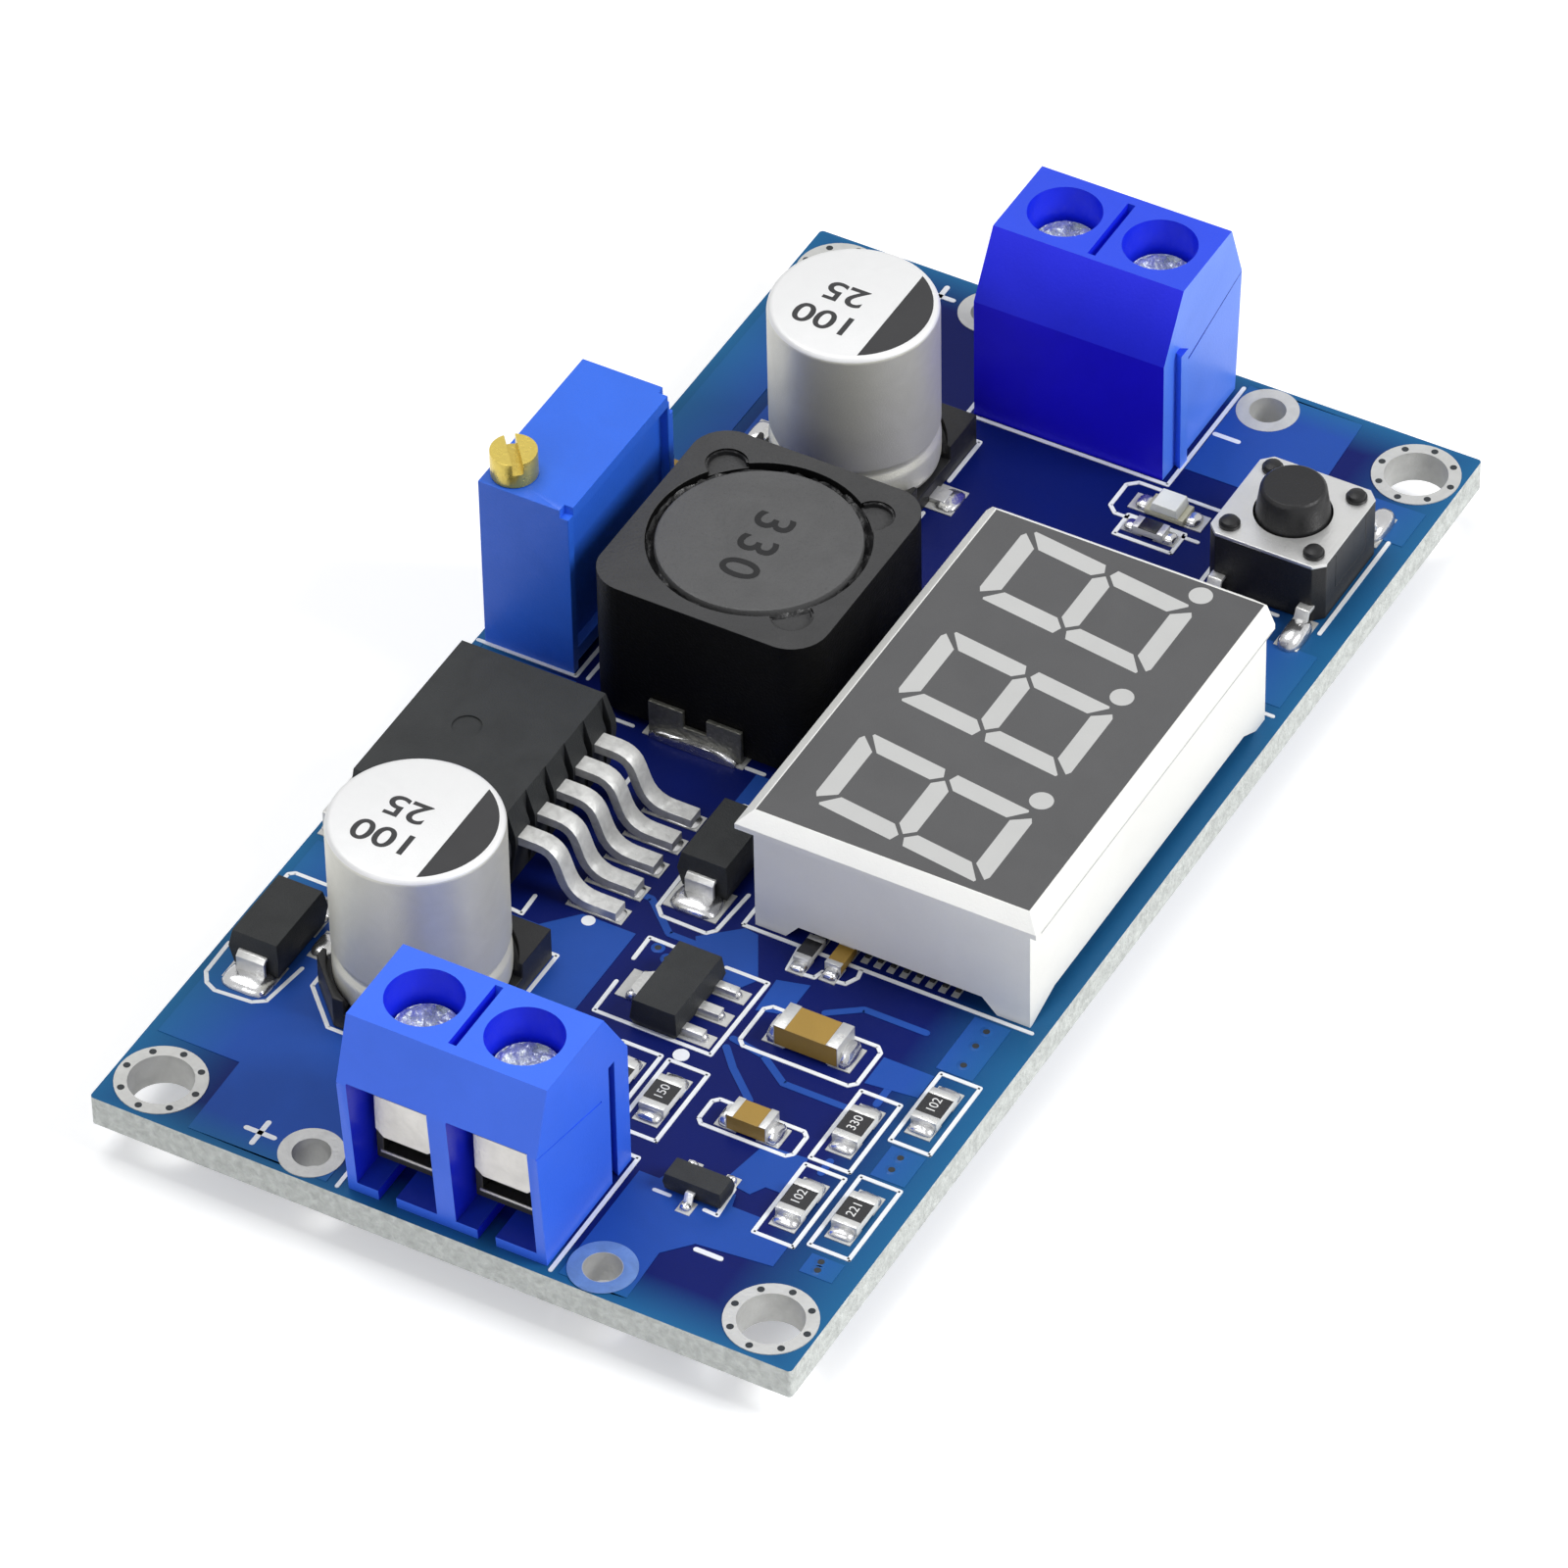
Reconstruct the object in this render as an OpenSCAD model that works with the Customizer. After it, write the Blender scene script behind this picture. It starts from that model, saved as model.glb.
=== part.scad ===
// Adjustable buck converter board with screw terminals and a three digit meter.
// Millimetres. Origin: centre of the mounting hole pattern on the board's underside.
// +X runs from the input end to the output end, +Z is up.

/* [Board] */
// Board length along X
board_l = 66; // [60:0.5:80]
// Board width along Y
board_w = 35; // [32:0.5:45]
// Board thickness
board_t = 1.6; // [1.2:0.1:2]
// Board corner radius
corner_r = 0.2; // [0.1:0.1:1.2]
// Mounting hole diameter
hole_d = 3; // [2.6:0.1:3.1]
// Mounting hole distance from the board's ends
hole_in_x = 2.33; // [2.2:0.01:2.5]
// Mounting hole distance from the board's long edges
hole_in_y = 2.25; // [2.2:0.01:2.5]
// Width of the tinned ring round a mounting hole
ring_w = 0.6; // [0.4:0.05:0.65]
// Height of the tinned lands above the board
land_t = 0.05; // [0.03:0.01:0.1]
// Wire pad hole diameter
wire_d = 1.75; // [1.2:0.05:1.8]
// Width of the tinned ring round a wire pad hole
wire_ring_w = 0.62; // [0.4:0.02:0.7]
// Length of every lead below the board
tail = 1.8; // [1:0.1:2.5]

/* [Terminals] */
// Distance between the poles of a terminal
pole_pitch = 4.95; // [4.9:0.05:5.2]
// Width of the wire chamber of one pole
chamber_w = 4; // [3.9:0.05:4.2]
// Terminal height
term_h = 10.1; // [9.8:0.1:11]
// Screw axis to the widest point of the front
term_front = 3.5; // [3.3:0.05:3.8]
// Screw axis to the foot of the front
term_foot = 3; // [2.8:0.05:3.2]
// Screw axis to the terminal's back
term_back = 4.3; // [4:0.05:4.5]
// Height where the front and back start to slope
shoulder_h = 6.9; // [6.6:0.1:7.1]
// Half depth of the flat top
top_half = 2.4; // [2.1:0.05:2.6]
// Floor thickness
floor_t = 0.6; // [0.5:0.05:0.65]
// Height of the chamber ceiling
ceil_h = 7; // [6.95:0.05:7.3]
// Thickness of the web under the screw head
web_t = 0.4; // [0.3:0.05:0.6]
// Screw well diameter
well_d = 3.55; // [3.4:0.05:3.8]
// Screw head diameter
head_d = 3; // [2.8:0.05:3.1]
// Depth of the screw head below the top
head_sink = 1.5; // [1.2:0.1:1.7]
// Screw shank diameter
shank_d = 2.4; // [2.2:0.05:2.5]
// Radial clearance round the screw shank
shank_gap = 0.05; // [0.03:0.01:0.08]
// Height of the contact bar's underside
bar_h = 3; // [2.95:0.05:3.1]
// Thickness of the contact bar
bar_t = 0.7; // [0.6:0.05:0.75]
// Width of the contact bar
bar_w = 2.4; // [2.2:0.05:2.5]
// Open height between the bar and the cage
wire_gap = 1.3; // [1.3:0.05:1.35]
// Outer width of the rising cage
cage_w = 3.5; // [3.4:0.05:3.55]
// Wall of the rising cage
cage_wall = 0.35; // [0.3:0.05:0.4]
// Thickness of the cage's lower bar
cage_bar = 0.5; // [0.45:0.05:0.5]
// Thickness of the cage's threaded block
cage_block = 1.4; // [1.2:0.05:1.5]
// Thickness of the contact's front plate
plate_t = 0.3; // [0.25:0.05:0.35]
// Width of the contact's front plate
plate_w = 3; // [2.8:0.05:3.2]
// Height of the contact's front plate
plate_h = 2.4; // [2:0.1:2.6]
// Width of a terminal's square lead
term_pin = 0.9; // [0.8:0.05:0.95]

/* [Trimmer] */
// Trimmer length
trim_l = 9.5; // [9.4:0.05:9.6]
// Trimmer width
trim_w = 4.7; // [4.5:0.05:4.8]
// Trimmer height above the board
trim_h = 9.8; // [9.3:0.1:10.5]
// Trimmer lead spacing
trim_pitch = 2.54; // [2.5:0.01:2.6]
// Trimmer screw diameter
trim_screw_d = 2.2; // [2:0.05:2.3]
// Height of the trimmer screw above the housing
trim_screw_up = 1.4; // [1.2:0.05:1.6]
// Radial clearance round the trimmer screw's stem
trim_gap = 0.05; // [0.03:0.01:0.08]

/* [Power parts] */
// Inductor length along X
ind_l = 11.9; // [11.6:0.1:12]
// Inductor width along Y
ind_w = 11.6; // [11.4:0.1:11.7]
// Inductor height
ind_h = 7.8; // [7.4:0.1:8.5]
// Radius of the inductor's upright corners
ind_r = 1.8; // [1.5:0.1:2.2]
// Radius of the glue pockets at the inductor's corners
ind_pocket = 1; // [0.8:0.05:1.1]
// Inductor core diameter
ind_core_d = 9.5; // [9.2:0.1:9.6]
// Gap between the core and the shield
ind_ring = 0.4; // [0.3:0.05:0.5]
// Capacitor can diameter
can_d = 8; // [7.8:0.1:8.1]
// Capacitor height
can_h = 10.1; // [9.5:0.1:11]
// Capacitor base size
can_base = 8.3; // [8.2:0.05:8.4]
// Regulator body length along X
reg_l = 10.15; // [9.9:0.05:10.3]
// Regulator body width along Y
reg_w = 7.8; // [7.6:0.05:7.9]
// Regulator height
reg_h = 4.5; // [4.3:0.1:4.7]
// Regulator lead pitch
reg_pitch = 1.7; // [1.65:0.01:1.73]
// Regulator lead width
reg_lead_w = 0.8; // [0.7:0.05:0.9]
// Regulator tab thickness
reg_tab_t = 1.3; // [1.2:0.05:1.4]

/* [Display] */
// Display body length
disp_l = 22.5; // [22.4:0.05:22.6]
// Display body width
disp_w = 13.8; // [13.7:0.05:13.85]
// Display height
disp_h = 7; // [6.8:0.1:7.5]
// Thickness of the display's rim
rim_t = 0.9; // [0.7:0.05:1]
// Overhang of the display's rim
rim_out = 0.6; // [0.3:0.05:0.65]
// Digit height
digit_h = 9.3; // [9:0.05:9.4]
// Digit width
digit_w = 5.1; // [4.9:0.05:5.2]
// Distance from an outer digit's middle to the display's end
digit_margin = 3.68; // [3.6:0.02:3.76]
// Segment stroke
stroke = 0.95; // [0.85:0.05:1.05]
// Gap between segments
seg_gap = 0.3; // [0.2:0.02:0.36]
// Slant of the digits in degrees
slant = 7.5; // [5:0.5:9]
// Decimal point diameter
dot_d = 1.1; // [0.9:0.05:1.15]
// Thickness of the display's dark face
face_t = 0.2; // [0.15:0.05:0.3]
// Width of a display lead
disp_pin = 0.5; // [0.45:0.05:0.6]

/* [Switch] */
// Switch size
sw_l = 5.95; // [5.8:0.05:6.1]
// Height of the switch cover's top
sw_h = 3.4; // [3.2:0.05:3.6]
// Height of the button's top
button_h = 5; // [4.8:0.05:5.4]
// Button diameter
button_d = 3.5; // [3.3:0.05:3.6]
// Clearance round the button
button_gap = 0.1; // [0.08:0.01:0.15]

/* [Hidden] */
$fn = 64;
eps = 0.01;
xi = -board_l / 2;
xo = board_l / 2;
ye = board_w / 2;
hx = xo - hole_in_x;
hy = ye - hole_in_y;
z0 = board_t;
zl = board_t + land_t;
tail_z = -tail;

// rows of parts: the room between them is shared out, so that they keep clear
// of each other when the board or a part changes size
ind_room = ind_l + 0.5;
row_parts = 2 * (term_front + term_back) + 2 * can_base + reg_l + ind_room;
free = (board_l - row_parts) / 11.25;
kx = board_l / 66;
ky = board_w / 35;

// terminals: local u runs from the screw to the board's middle, v along the width
term_w = 2 * pole_pitch;
in_at = [xi + 0.05 * free + term_front, -0.3 * ky, 0];
out_at = [xo - 0.4 * free - term_front, -0.13 * ky, 180];
cage_front = 1.7;
cage_back = 1.75;
cage_z = bar_h - wire_gap - cage_bar;
block_z = bar_h + bar_t + 0.55;
head_z = ceil_h + web_t + 0.05;
head_top = term_h - head_sink;
plate_u = cage_front + 0.15;
riser_u = cage_back + 0.2;
riser_t = 0.35;

// inductor, capacitors, regulator
can_in = [in_at[0] + term_back + 0.9 * free + can_base / 2, 8.15 * ky];
can_out = [out_at[0] - term_back - 1.78 * free - can_base / 2, 7.86 * ky];
reg_at = [can_in[0] + can_base / 2 + 2.03 * free + reg_l / 2, 11.85 * ky - reg_w / 2];
ind_at = [reg_at[0] + reg_l / 2 + 2.57 * free + ind_room / 2, 5.1 * ky];

// trimmer
trim_x = ind_at[0] + 0.25 - trim_l / 2;
trim_y = 14.7 * ky - trim_w / 2;
trim_screw_at = [trim_x + 1.25, trim_y + trim_w - 1.2];
trim_mid_y = trim_y + trim_w / 2 + 0.1;

// display
disp_c = [1.4 * kx, -9.75 * ky];
digit_y = disp_c[1] + 0.35;
shell_in = 3.1;
digit_pitch = disp_l / 2 - digit_margin;

sw_at = [22.35 * kx, -13.05 * ky];
led_at = [22.95 * kx, -6.4 * ky];

// chip parts: x, y, turned, length, width, height
resistors = [
  [-16.53 * kx, -15.5 * ky, 0, 2, 1.25, 0.5], [-19.1 * kx, -13 * ky, 0, 2, 1.25, 0.5],
  [-24.17 * kx, -13.02 * ky, 0, 2, 1.25, 0.5], [-23.7 * kx, -15.5 * ky, 0, 2, 1.25, 0.5],
  [-21.4 * kx, -4.67 * ky, 0, 2, 1.25, 0.5], [-21.35 * kx, -2.3 * ky, 0, 2, 1.25, 0.5],
  [21.3 * kx, -6.3 * ky, 90, 1.6, 0.8, 0.45],
  [disp_c[0] - disp_l / 2 - 0.55, disp_c[1] + disp_w / 2 - 3.05, 0, 1.6, 0.8, 0.4]
];
ceramics = [
  [-15.3 * kx, -8.85 * ky, 90, 3.2, 1.6, 1.2], [-21 * kx, -8.95 * ky, 90, 2, 1.25, 0.9]
];
small_ceramics = [
  [trim_x + trim_l + 4.3 * free, 14.9 * ky, 90, 1.6, 0.8, 0.8],
  [disp_c[0] - disp_l / 2 - 0.35, disp_c[1] + disp_w / 2 - 4.55, 0, 1.6, 0.8, 0.55]
];
chips = concat(resistors, ceramics, small_ceramics);

// input diode, output diode: x, y
diode_in = [can_in[0] - 0.85, 15.05 * ky];
diode_out = [reg_at[0] + 1.55, 0.05 * ky];
sot = [-15.75 * kx, -2.25 * ky];
tr_at = [-25.5 * kx, -8.8 * ky];
mcu_at = [disp_c[0] - disp_l / 2 + 3.65, disp_c[1] - disp_w / 2 + 6.75];

// ---- helpers
module box(x0, x1, y0, y1, a, b) {
  translate([x0, y0, a]) cube([x1 - x0, y1 - y0, b - a]);
}
module rod(x, y, r, a, b) {
  translate([x, y, a]) cylinder(r = r, h = b - a);
}
// moulded block with sides that lean in above and below the parting line
module moulded(l, w, a, b, mid, lean) {
  intersection() {
    translate([0, w / 2 + 1, 0]) rotate([90, 0, 0]) linear_extrude(w + 2)
      polygon([[-l / 2 + lean, a], [l / 2 - lean, a], [l / 2, mid],
        [l / 2 - lean, b], [-l / 2 + lean, b], [-l / 2, mid]]);
    translate([-l / 2 - 1, 0, 0]) rotate([90, 0, 90]) linear_extrude(l + 2)
      polygon([[-w / 2 + lean, a], [w / 2 - lean, a], [w / 2, mid],
        [w / 2 - lean, b], [-w / 2 + lean, b], [-w / 2, mid]]);
  }
}
// strip bent in a plane: outline given in (distance, height), centred on its width
module strip(pts, w) {
  rotate([90, 0, 90]) translate([0, 0, -w / 2]) linear_extrude(w) polygon(pts);
}
// gull wing lead leaving a body at y = 0 towards +y
function gull(back, zt, flat, foot, tip, t) = [
  [-back, zt], [flat, zt], [flat + t * 0.35, zt - t * 0.25], [foot, zl + t],
  [tip, zl + t], [tip, zl], [foot - t * 0.45, zl],
  [foot - t * 0.8, zl + t * 0.25], [flat - t * 0.15, zt - t], [-back, zt - t]
];

// ---- board
function all_pins() = concat(
  [for (s = [-1, 1]) [in_at[0] + 1.85, in_at[1] + s * pole_pitch / 2, term_pin]],
  [for (s = [-1, 1]) [out_at[0] - 1.85, out_at[1] + s * pole_pitch / 2, term_pin]],
  [for (i = [-1, 0, 1]) [trim_x + trim_l / 2 + i * trim_pitch, trim_mid_y, 0.5]],
  [for (i = [-2.5 : 1 : 2.5]) for (s = [-1, 1])
    [disp_c[0] + i * 2.54, disp_c[1] + s * 5.08, disp_pin]]
);
wire_pads = [
  [xi + 1.6, 7.15 * ky], [xi + 1.58, -7.41 * ky], [xo - 1.58, -7.15 * ky], [xo - 1.55, 7.6 * ky]
];
module circuit_board() {
  color([0.12, 0.3, 0.62]) difference() {
    union() {
      box(-board_l / 2, board_l / 2, -ye + corner_r, ye - corner_r, 0, board_t);
      box(-board_l / 2 + corner_r, board_l / 2 - corner_r, -ye, ye, 0, board_t);
      for (sx = [-1, 1]) for (sy = [-1, 1])
        rod(sx * (xo - corner_r), sy * (ye - corner_r), corner_r, 0, board_t);
    }
    for (sx = [-1, 1]) for (sy = [-1, 1])
      rod(sx * hx, sy * hy, hole_d / 2, -1, board_t + 1);
    for (p = wire_pads)
      rod(p[0], p[1], wire_d / 2, -1, board_t + 1);
    for (p = all_pins())
      box(p[0] - p[2] / 2, p[0] + p[2] / 2, p[1] - p[2] / 2, p[1] + p[2] / 2, -1, board_t + 1);
  }
}
module land(x0, x1, y0, y1) {
  box(x0, x1, y0, y1, z0, zl);
}
module ring(x, y, d, w, z) {
  difference() {
    rod(x, y, d / 2 + w, z, z + land_t);
    rod(x, y, d / 2, z - 1, z + 1);
  }
}
module tinned_lands() {
  color([0.8, 0.81, 0.82]) {
    for (z = [-land_t, z0]) {
      for (sx = [-1, 1]) for (sy = [-1, 1])
        ring(sx * hx, sy * hy, hole_d, ring_w, z);
      for (p = wire_pads)
        ring(p[0], p[1], wire_d, wire_ring_w, z);
    }
    for (p = all_pins())
      difference() {
        rod(p[0], p[1], p[2] / 2 + 0.55, -land_t, 0);
        box(p[0] - p[2] / 2, p[0] + p[2] / 2, p[1] - p[2] / 2, p[1] + p[2] / 2, -1, 1);
      }
    for (c = chips) translate([c[0], c[1], 0]) rotate([0, 0, c[2]])
      for (s = [-1, 1])
        translate([s * (c[3] / 2 + 0.05), 0, 0]) land(-0.55, 0.55, -c[4] / 2, c[4] / 2);
    for (i = [-2 : 2])
      land(reg_at[0] + i * reg_pitch - 0.5, reg_at[0] + i * reg_pitch + 0.5,
        reg_at[1] - 5.6, reg_at[1] - 2.75);
    land(reg_at[0] - 5.2, reg_at[0] + 5.2, reg_at[1] + 1.55, ye - 0.25);
    for (c = [can_in, can_out]) for (s = [-1, 1])
      translate([c[0], c[1], 0]) rotate([0, 0, 90 + 90 * s]) land(-0.9, 0.9, 2, 5.5);
    for (s = [-1, 1])
      land(diode_in[0] + s * 2 - 0.9, diode_in[0] + s * 2 + 0.9, diode_in[1] - 1.15, diode_in[1] + 1.25);
    for (s = [-1, 1])
      land(diode_out[0] + s * 2.4 - 1, diode_out[0] + s * 2.4 + 1, diode_out[1] - 1.35, diode_out[1] + 1.35);
    for (s = [-1, 1])
      land(ind_at[0] + s * 5.1 - 1.35, ind_at[0] + s * 5.1 + 1.35, ind_at[1] - 2.6, ind_at[1] + 2.6);
    for (x = [-1.55, 0, 1.55])
      land(sot[0] + x - 0.4, sot[0] + x + 0.4, sot[1] - 2.65, sot[1] - 0.95);
    land(sot[0] - 0.9, sot[0] + 0.9, sot[1] + 0.85, sot[1] + 2.7);
    land(tr_at[0] - 1.5, tr_at[0] - 0.7, tr_at[1] - 0.35, tr_at[1] + 0.35);
    for (s = [-1, 1])
      land(tr_at[0] + 0.7, tr_at[0] + 1.5, tr_at[1] + s * 0.95 - 0.35, tr_at[1] + s * 0.95 + 0.35);
    for (sx = [-1, 1]) for (sy = [-1, 1])
      land(sw_at[0] + sx * 4 - 1.1, sw_at[0] + sx * 4 + 1.1,
        sw_at[1] + sy * 2.25 - 0.6, sw_at[1] + sy * 2.25 + 0.6);
    for (s = [-1, 1])
      land(led_at[0] - 0.55, led_at[0] + 0.55, led_at[1] + s * 1.35 - 0.55, led_at[1] + s * 1.35 + 0.55);
    for (i = [-4.5 : 1 : 4.5]) for (s = [-1, 1])
      land(mcu_at[0] + s * 3.0 - 0.55, mcu_at[0] + s * 3.0 + 0.55,
        mcu_at[1] + i * 0.65 - 0.17, mcu_at[1] + i * 0.65 + 0.17);
  }
}

// ---- screw terminals
module at_terminal(t) {
  translate([t[0], t[1], z0]) rotate([0, 0, t[2]]) children();
}
module side_plate(pts, v0, v1) {
  translate([0, v1, 0]) rotate([90, 0, 0]) linear_extrude(v1 - v0) polygon(pts);
}
module terminal_housing() {
  hw = term_w / 2;
  difference() {
    side_plate([[-term_foot, 0], [term_back, 0], [term_back, shoulder_h], [top_half, term_h],
      [-top_half, term_h], [-term_front, shoulder_h]], -hw, hw);
    for (s = [-1, 1]) translate([0, s * pole_pitch / 2, 0]) {
      box(-term_front - 1, riser_u + riser_t, -chamber_w / 2, chamber_w / 2, floor_t, ceil_h);
      rod(0, 0, well_d / 2, ceil_h + web_t, term_h + 1);
      rod(0, 0, shank_d / 2 + shank_gap, ceil_h - 1, term_h);
      box(riser_u + riser_t - term_pin, riser_u + riser_t, -term_pin / 2, term_pin / 2, -1, floor_t + 1);
      box(-term_front - 1, -0.6, 0.05, 0.95, -1, floor_t + 1);
      // sloped mouth of the wire chamber
      side_plate([[-term_front - 1, floor_t + 1.2], [-term_front + 0.35, ceil_h - 0.4],
        [-term_front - 1, ceil_h - 0.4]], -chamber_w / 2, chamber_w / 2);
    }
    box(-1.9, 2.1, -0.2, 0.2, term_h - 1, term_h + 1);
    // dovetail groove that takes the next terminal's rib
    translate([0, -hw, 0]) linear_extrude(shoulder_h + 0.1)
      polygon([[2.65, -1], [2.65, 0.01], [2.45, 0.42], [3.35, 0.42], [3.15, 0.01], [3.15, -1]]);
    // faint step along the side
    for (s = [-1, 1]) side_plate([[-term_front, shoulder_h], [-term_front, shoulder_h - 0.05],
      [2, 5.5], [2, 5.62]], s * hw - 0.06, s * hw + 0.06);
  }
  translate([0, hw, 0]) linear_extrude(shoulder_h)
    polygon([[2.72, 0], [2.55, 0.36], [3.25, 0.36], [3.08, 0]]);
}
module terminal_contact() {
  side_plate([[-plate_u, bar_h], [riser_u, bar_h], [riser_u, floor_t],
    [riser_u + riser_t, floor_t], [riser_u + riser_t, bar_h + bar_t], [-plate_u, bar_h + bar_t]],
    -bar_w / 2, bar_w / 2);
  translate([-plate_u, 0, 0]) rotate([90, 0, -90]) linear_extrude(plate_t)
    polygon([[-plate_w / 2 + 0.4, bar_h], [plate_w / 2 - 0.4, bar_h], [plate_w / 2, bar_h + 0.4],
      [plate_w / 2, bar_h + plate_h], [-plate_w / 2, bar_h + plate_h], [-plate_w / 2, bar_h + 0.4]]);
  box(riser_u + riser_t - term_pin, riser_u + riser_t, -term_pin / 2, term_pin / 2, tail_z - z0, floor_t);
}
module terminal_screw() {
  difference() {
    union() {
      rod(0, 0, head_d / 2, head_z, head_top);
      rod(0, 0, shank_d / 2, bar_h + bar_t + 0.05, head_z);
    }
    box(-head_d, head_d, -0.25, 0.25, head_top - 0.55, head_top + 1);
    box(-0.22, 0.22, -0.95, 0.95, head_top - 0.45, head_top + 1);
  }
}
module terminal_cage() {
  difference() {
    box(-cage_front, cage_back, -cage_w / 2, cage_w / 2, cage_z, block_z + cage_block);
    box(-cage_front - 1, cage_back + 1, -cage_w / 2 + cage_wall, cage_w / 2 - cage_wall,
      cage_z + cage_bar, block_z);
    rod(0, 0, shank_d / 2 + shank_gap, block_z - 1, block_z + cage_block + 1);
    for (u = [-1.1 : 0.55 : 1.1])
      box(u - 0.1, u + 0.1, -cage_w / 2 + cage_wall, cage_w / 2 - cage_wall,
        cage_z + cage_bar - 0.1, cage_z + cage_bar + 1);
  }
}
module pole(t, s) {
  at_terminal(t) translate([0, s * pole_pitch / 2, 0]) children();
}

// ---- trimmer
module trimmer_housing() {
  x1 = trim_x + trim_l;
  y1 = trim_y + trim_w;
  color([0.13, 0.32, 0.75]) difference() {
    union() {
      box(trim_x, x1, trim_y + 0.45, y1, z0 + 0.5, z0 + trim_h);
      box(trim_x, trim_x + 0.45, trim_y, y1, z0, z0 + trim_h - 0.45);
      box(x1 - 0.45, x1, trim_y, y1, z0, z0 + trim_h - 0.45);
      box(trim_x, x1, trim_y, y1, z0 + 0.5, z0 + 1.3);
      box(trim_x + 0.45, x1 - 0.45, trim_y, y1, z0 + trim_h - 0.7, z0 + trim_h);
    }
    box(trim_x + 0.7, x1 - 0.7, trim_y + 0.7, y1 - 0.5, z0, z0 + 1.5);
    rod(trim_screw_at[0], trim_screw_at[1], 0.7 + trim_gap, z0 + 4, z0 + trim_h + 1);
    box(x1 - 0.3, x1 + 1, trim_y - 1, trim_y + 0.5, z0 + trim_h - 1.2, z0 + trim_h + 1);
  }
}
module trimmer_base() {
  color([0.75, 0.73, 0.66])
    box(trim_x + 0.7, trim_x + trim_l - 0.7, trim_y + 0.7, trim_y + trim_w - 0.5, z0 + 0.35, z0 + 1.5);
}
module trimmer_pins() {
  color([0.8, 0.8, 0.8]) for (i = [-1, 0, 1])
    translate([trim_x + trim_l / 2 + i * trim_pitch, trim_mid_y, 0])
      box(-0.25, 0.25, -0.25, 0.25, tail_z, z0 + 0.35);
}
module trimmer_screw() {
  zt = z0 + trim_h;
  color([0.78, 0.62, 0.3]) translate([trim_screw_at[0], trim_screw_at[1], 0]) difference() {
    union() {
      rod(0, 0, trim_screw_d / 2, zt + 0.05, zt + trim_screw_up);
      rod(0, 0, 0.7, z0 + 4.3, zt + 0.1);
    }
    rotate([0, 0, 40]) box(-2, 2, -0.25, 0.25, zt + trim_screw_up - 0.6, zt + 3);
  }
}

// ---- inductor
ind_bore = ind_core_d / 2 + ind_ring;
ind_z = zl + 0.3;
module inductor_shield() {
  color([0.22, 0.22, 0.23]) translate([ind_at[0], ind_at[1], 0]) difference() {
    translate([0, 0, ind_z]) linear_extrude(z0 + ind_h - ind_z)
      offset(r = ind_r, $fn = 32) square([ind_l - 2 * ind_r, ind_w - 2 * ind_r], center = true);
    rod(0, 0, ind_bore, 0, z0 + ind_h + 1);
    // pockets that widen the glue gap at three corners
    for (q = [45, -45, -135]) rotate([0, 0, q])
      rod(ind_bore + 0.2, 0, ind_pocket, z0 + ind_h - 0.3, z0 + ind_h + 1);
  }
}
module inductor_core() {
  color([0.33, 0.33, 0.34]) translate([ind_at[0], ind_at[1], 0]) {
    rod(0, 0, ind_core_d / 2, ind_z, ind_z + 1.2);
    rod(0, 0, 2.3, ind_z + 1.2, z0 + ind_h - 1.5);
    rod(0, 0, ind_core_d / 2, z0 + ind_h - 1.5, z0 + ind_h - 0.05);
  }
}
module inductor_winding() {
  color([0.72, 0.4, 0.2]) translate([ind_at[0], ind_at[1], 0]) difference() {
    rod(0, 0, ind_core_d / 2 - 0.3, ind_z + 1.2, z0 + ind_h - 1.5);
    rod(0, 0, 2.3, 0, z0 + ind_h);
  }
}
module inductor_adhesive() {
  color([0.08, 0.08, 0.08]) translate([ind_at[0], ind_at[1], 0]) difference() {
    rod(0, 0, ind_bore, z0 + ind_h - 1.2, z0 + ind_h - 0.3);
    rod(0, 0, ind_core_d / 2, 0, z0 + ind_h);
  }
}
module inductor_clips() {
  color([0.82, 0.82, 0.82]) for (s = [0, 180])
    translate([ind_at[0], ind_at[1], 0]) rotate([0, 0, s]) translate([ind_l / 2, 0, 0]) {
      box(-3, 0, -2.4, 2.4, zl, ind_z);
      difference() {
        box(0, 0.25, -2.4, 2.4, zl, z0 + 1.9);
        box(-1, 1, -0.6, 0.6, z0 + 1, z0 + 3);
      }
    }
}

// ---- capacitors
module capacitor_can() {
  r = can_d / 2;
  zb = 0.95;
  color([0.85, 0.85, 0.86]) translate([0, 0, z0]) rotate_extrude()
    polygon([[0, zb], [r - 0.35, zb], [r, zb + 0.35], [r, 2.5], [r - 0.22, 2.75],
      [r - 0.22, 2.95], [r, 3.2], [r, can_h - 0.35], [r - 0.12, can_h - 0.12],
      [r - 0.35, can_h], [r - 0.75, can_h], [r - 0.85, can_h - 0.08], [0, can_h - 0.08]]);
}
module capacitor_base() {
  b = can_base / 2;
  c = 2;
  color([0.1, 0.1, 0.1]) difference() {
    translate([0, 0, zl]) linear_extrude(z0 + 1.8 - zl)
      polygon([[-b, -b], [b, -b], [b, b], [-b + c, b], [-b, b - c]]);
    rod(0, 0, can_d / 2 + 0.02, z0 + 0.95, z0 + 3);
    rod(0, 0, can_d / 2 + 0.25, z0 + 1.3, z0 + 3);
    for (q = [0, 90]) rotate([0, 0, q]) box(-6, 6, -1.6, 1.6, z0 + 0.95, z0 + 3);
    capacitor_leads_shape();
  }
}
module capacitor_leads_shape() {
  for (s = [0, 180]) rotate([0, 0, s]) {
    box(-0.45, 0.45, 1.3, can_base / 2 + 0.75, zl, zl + 0.25);
    box(-0.45, 0.45, 1.3, 1.55, zl, z0 + 0.95);
  }
}
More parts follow.
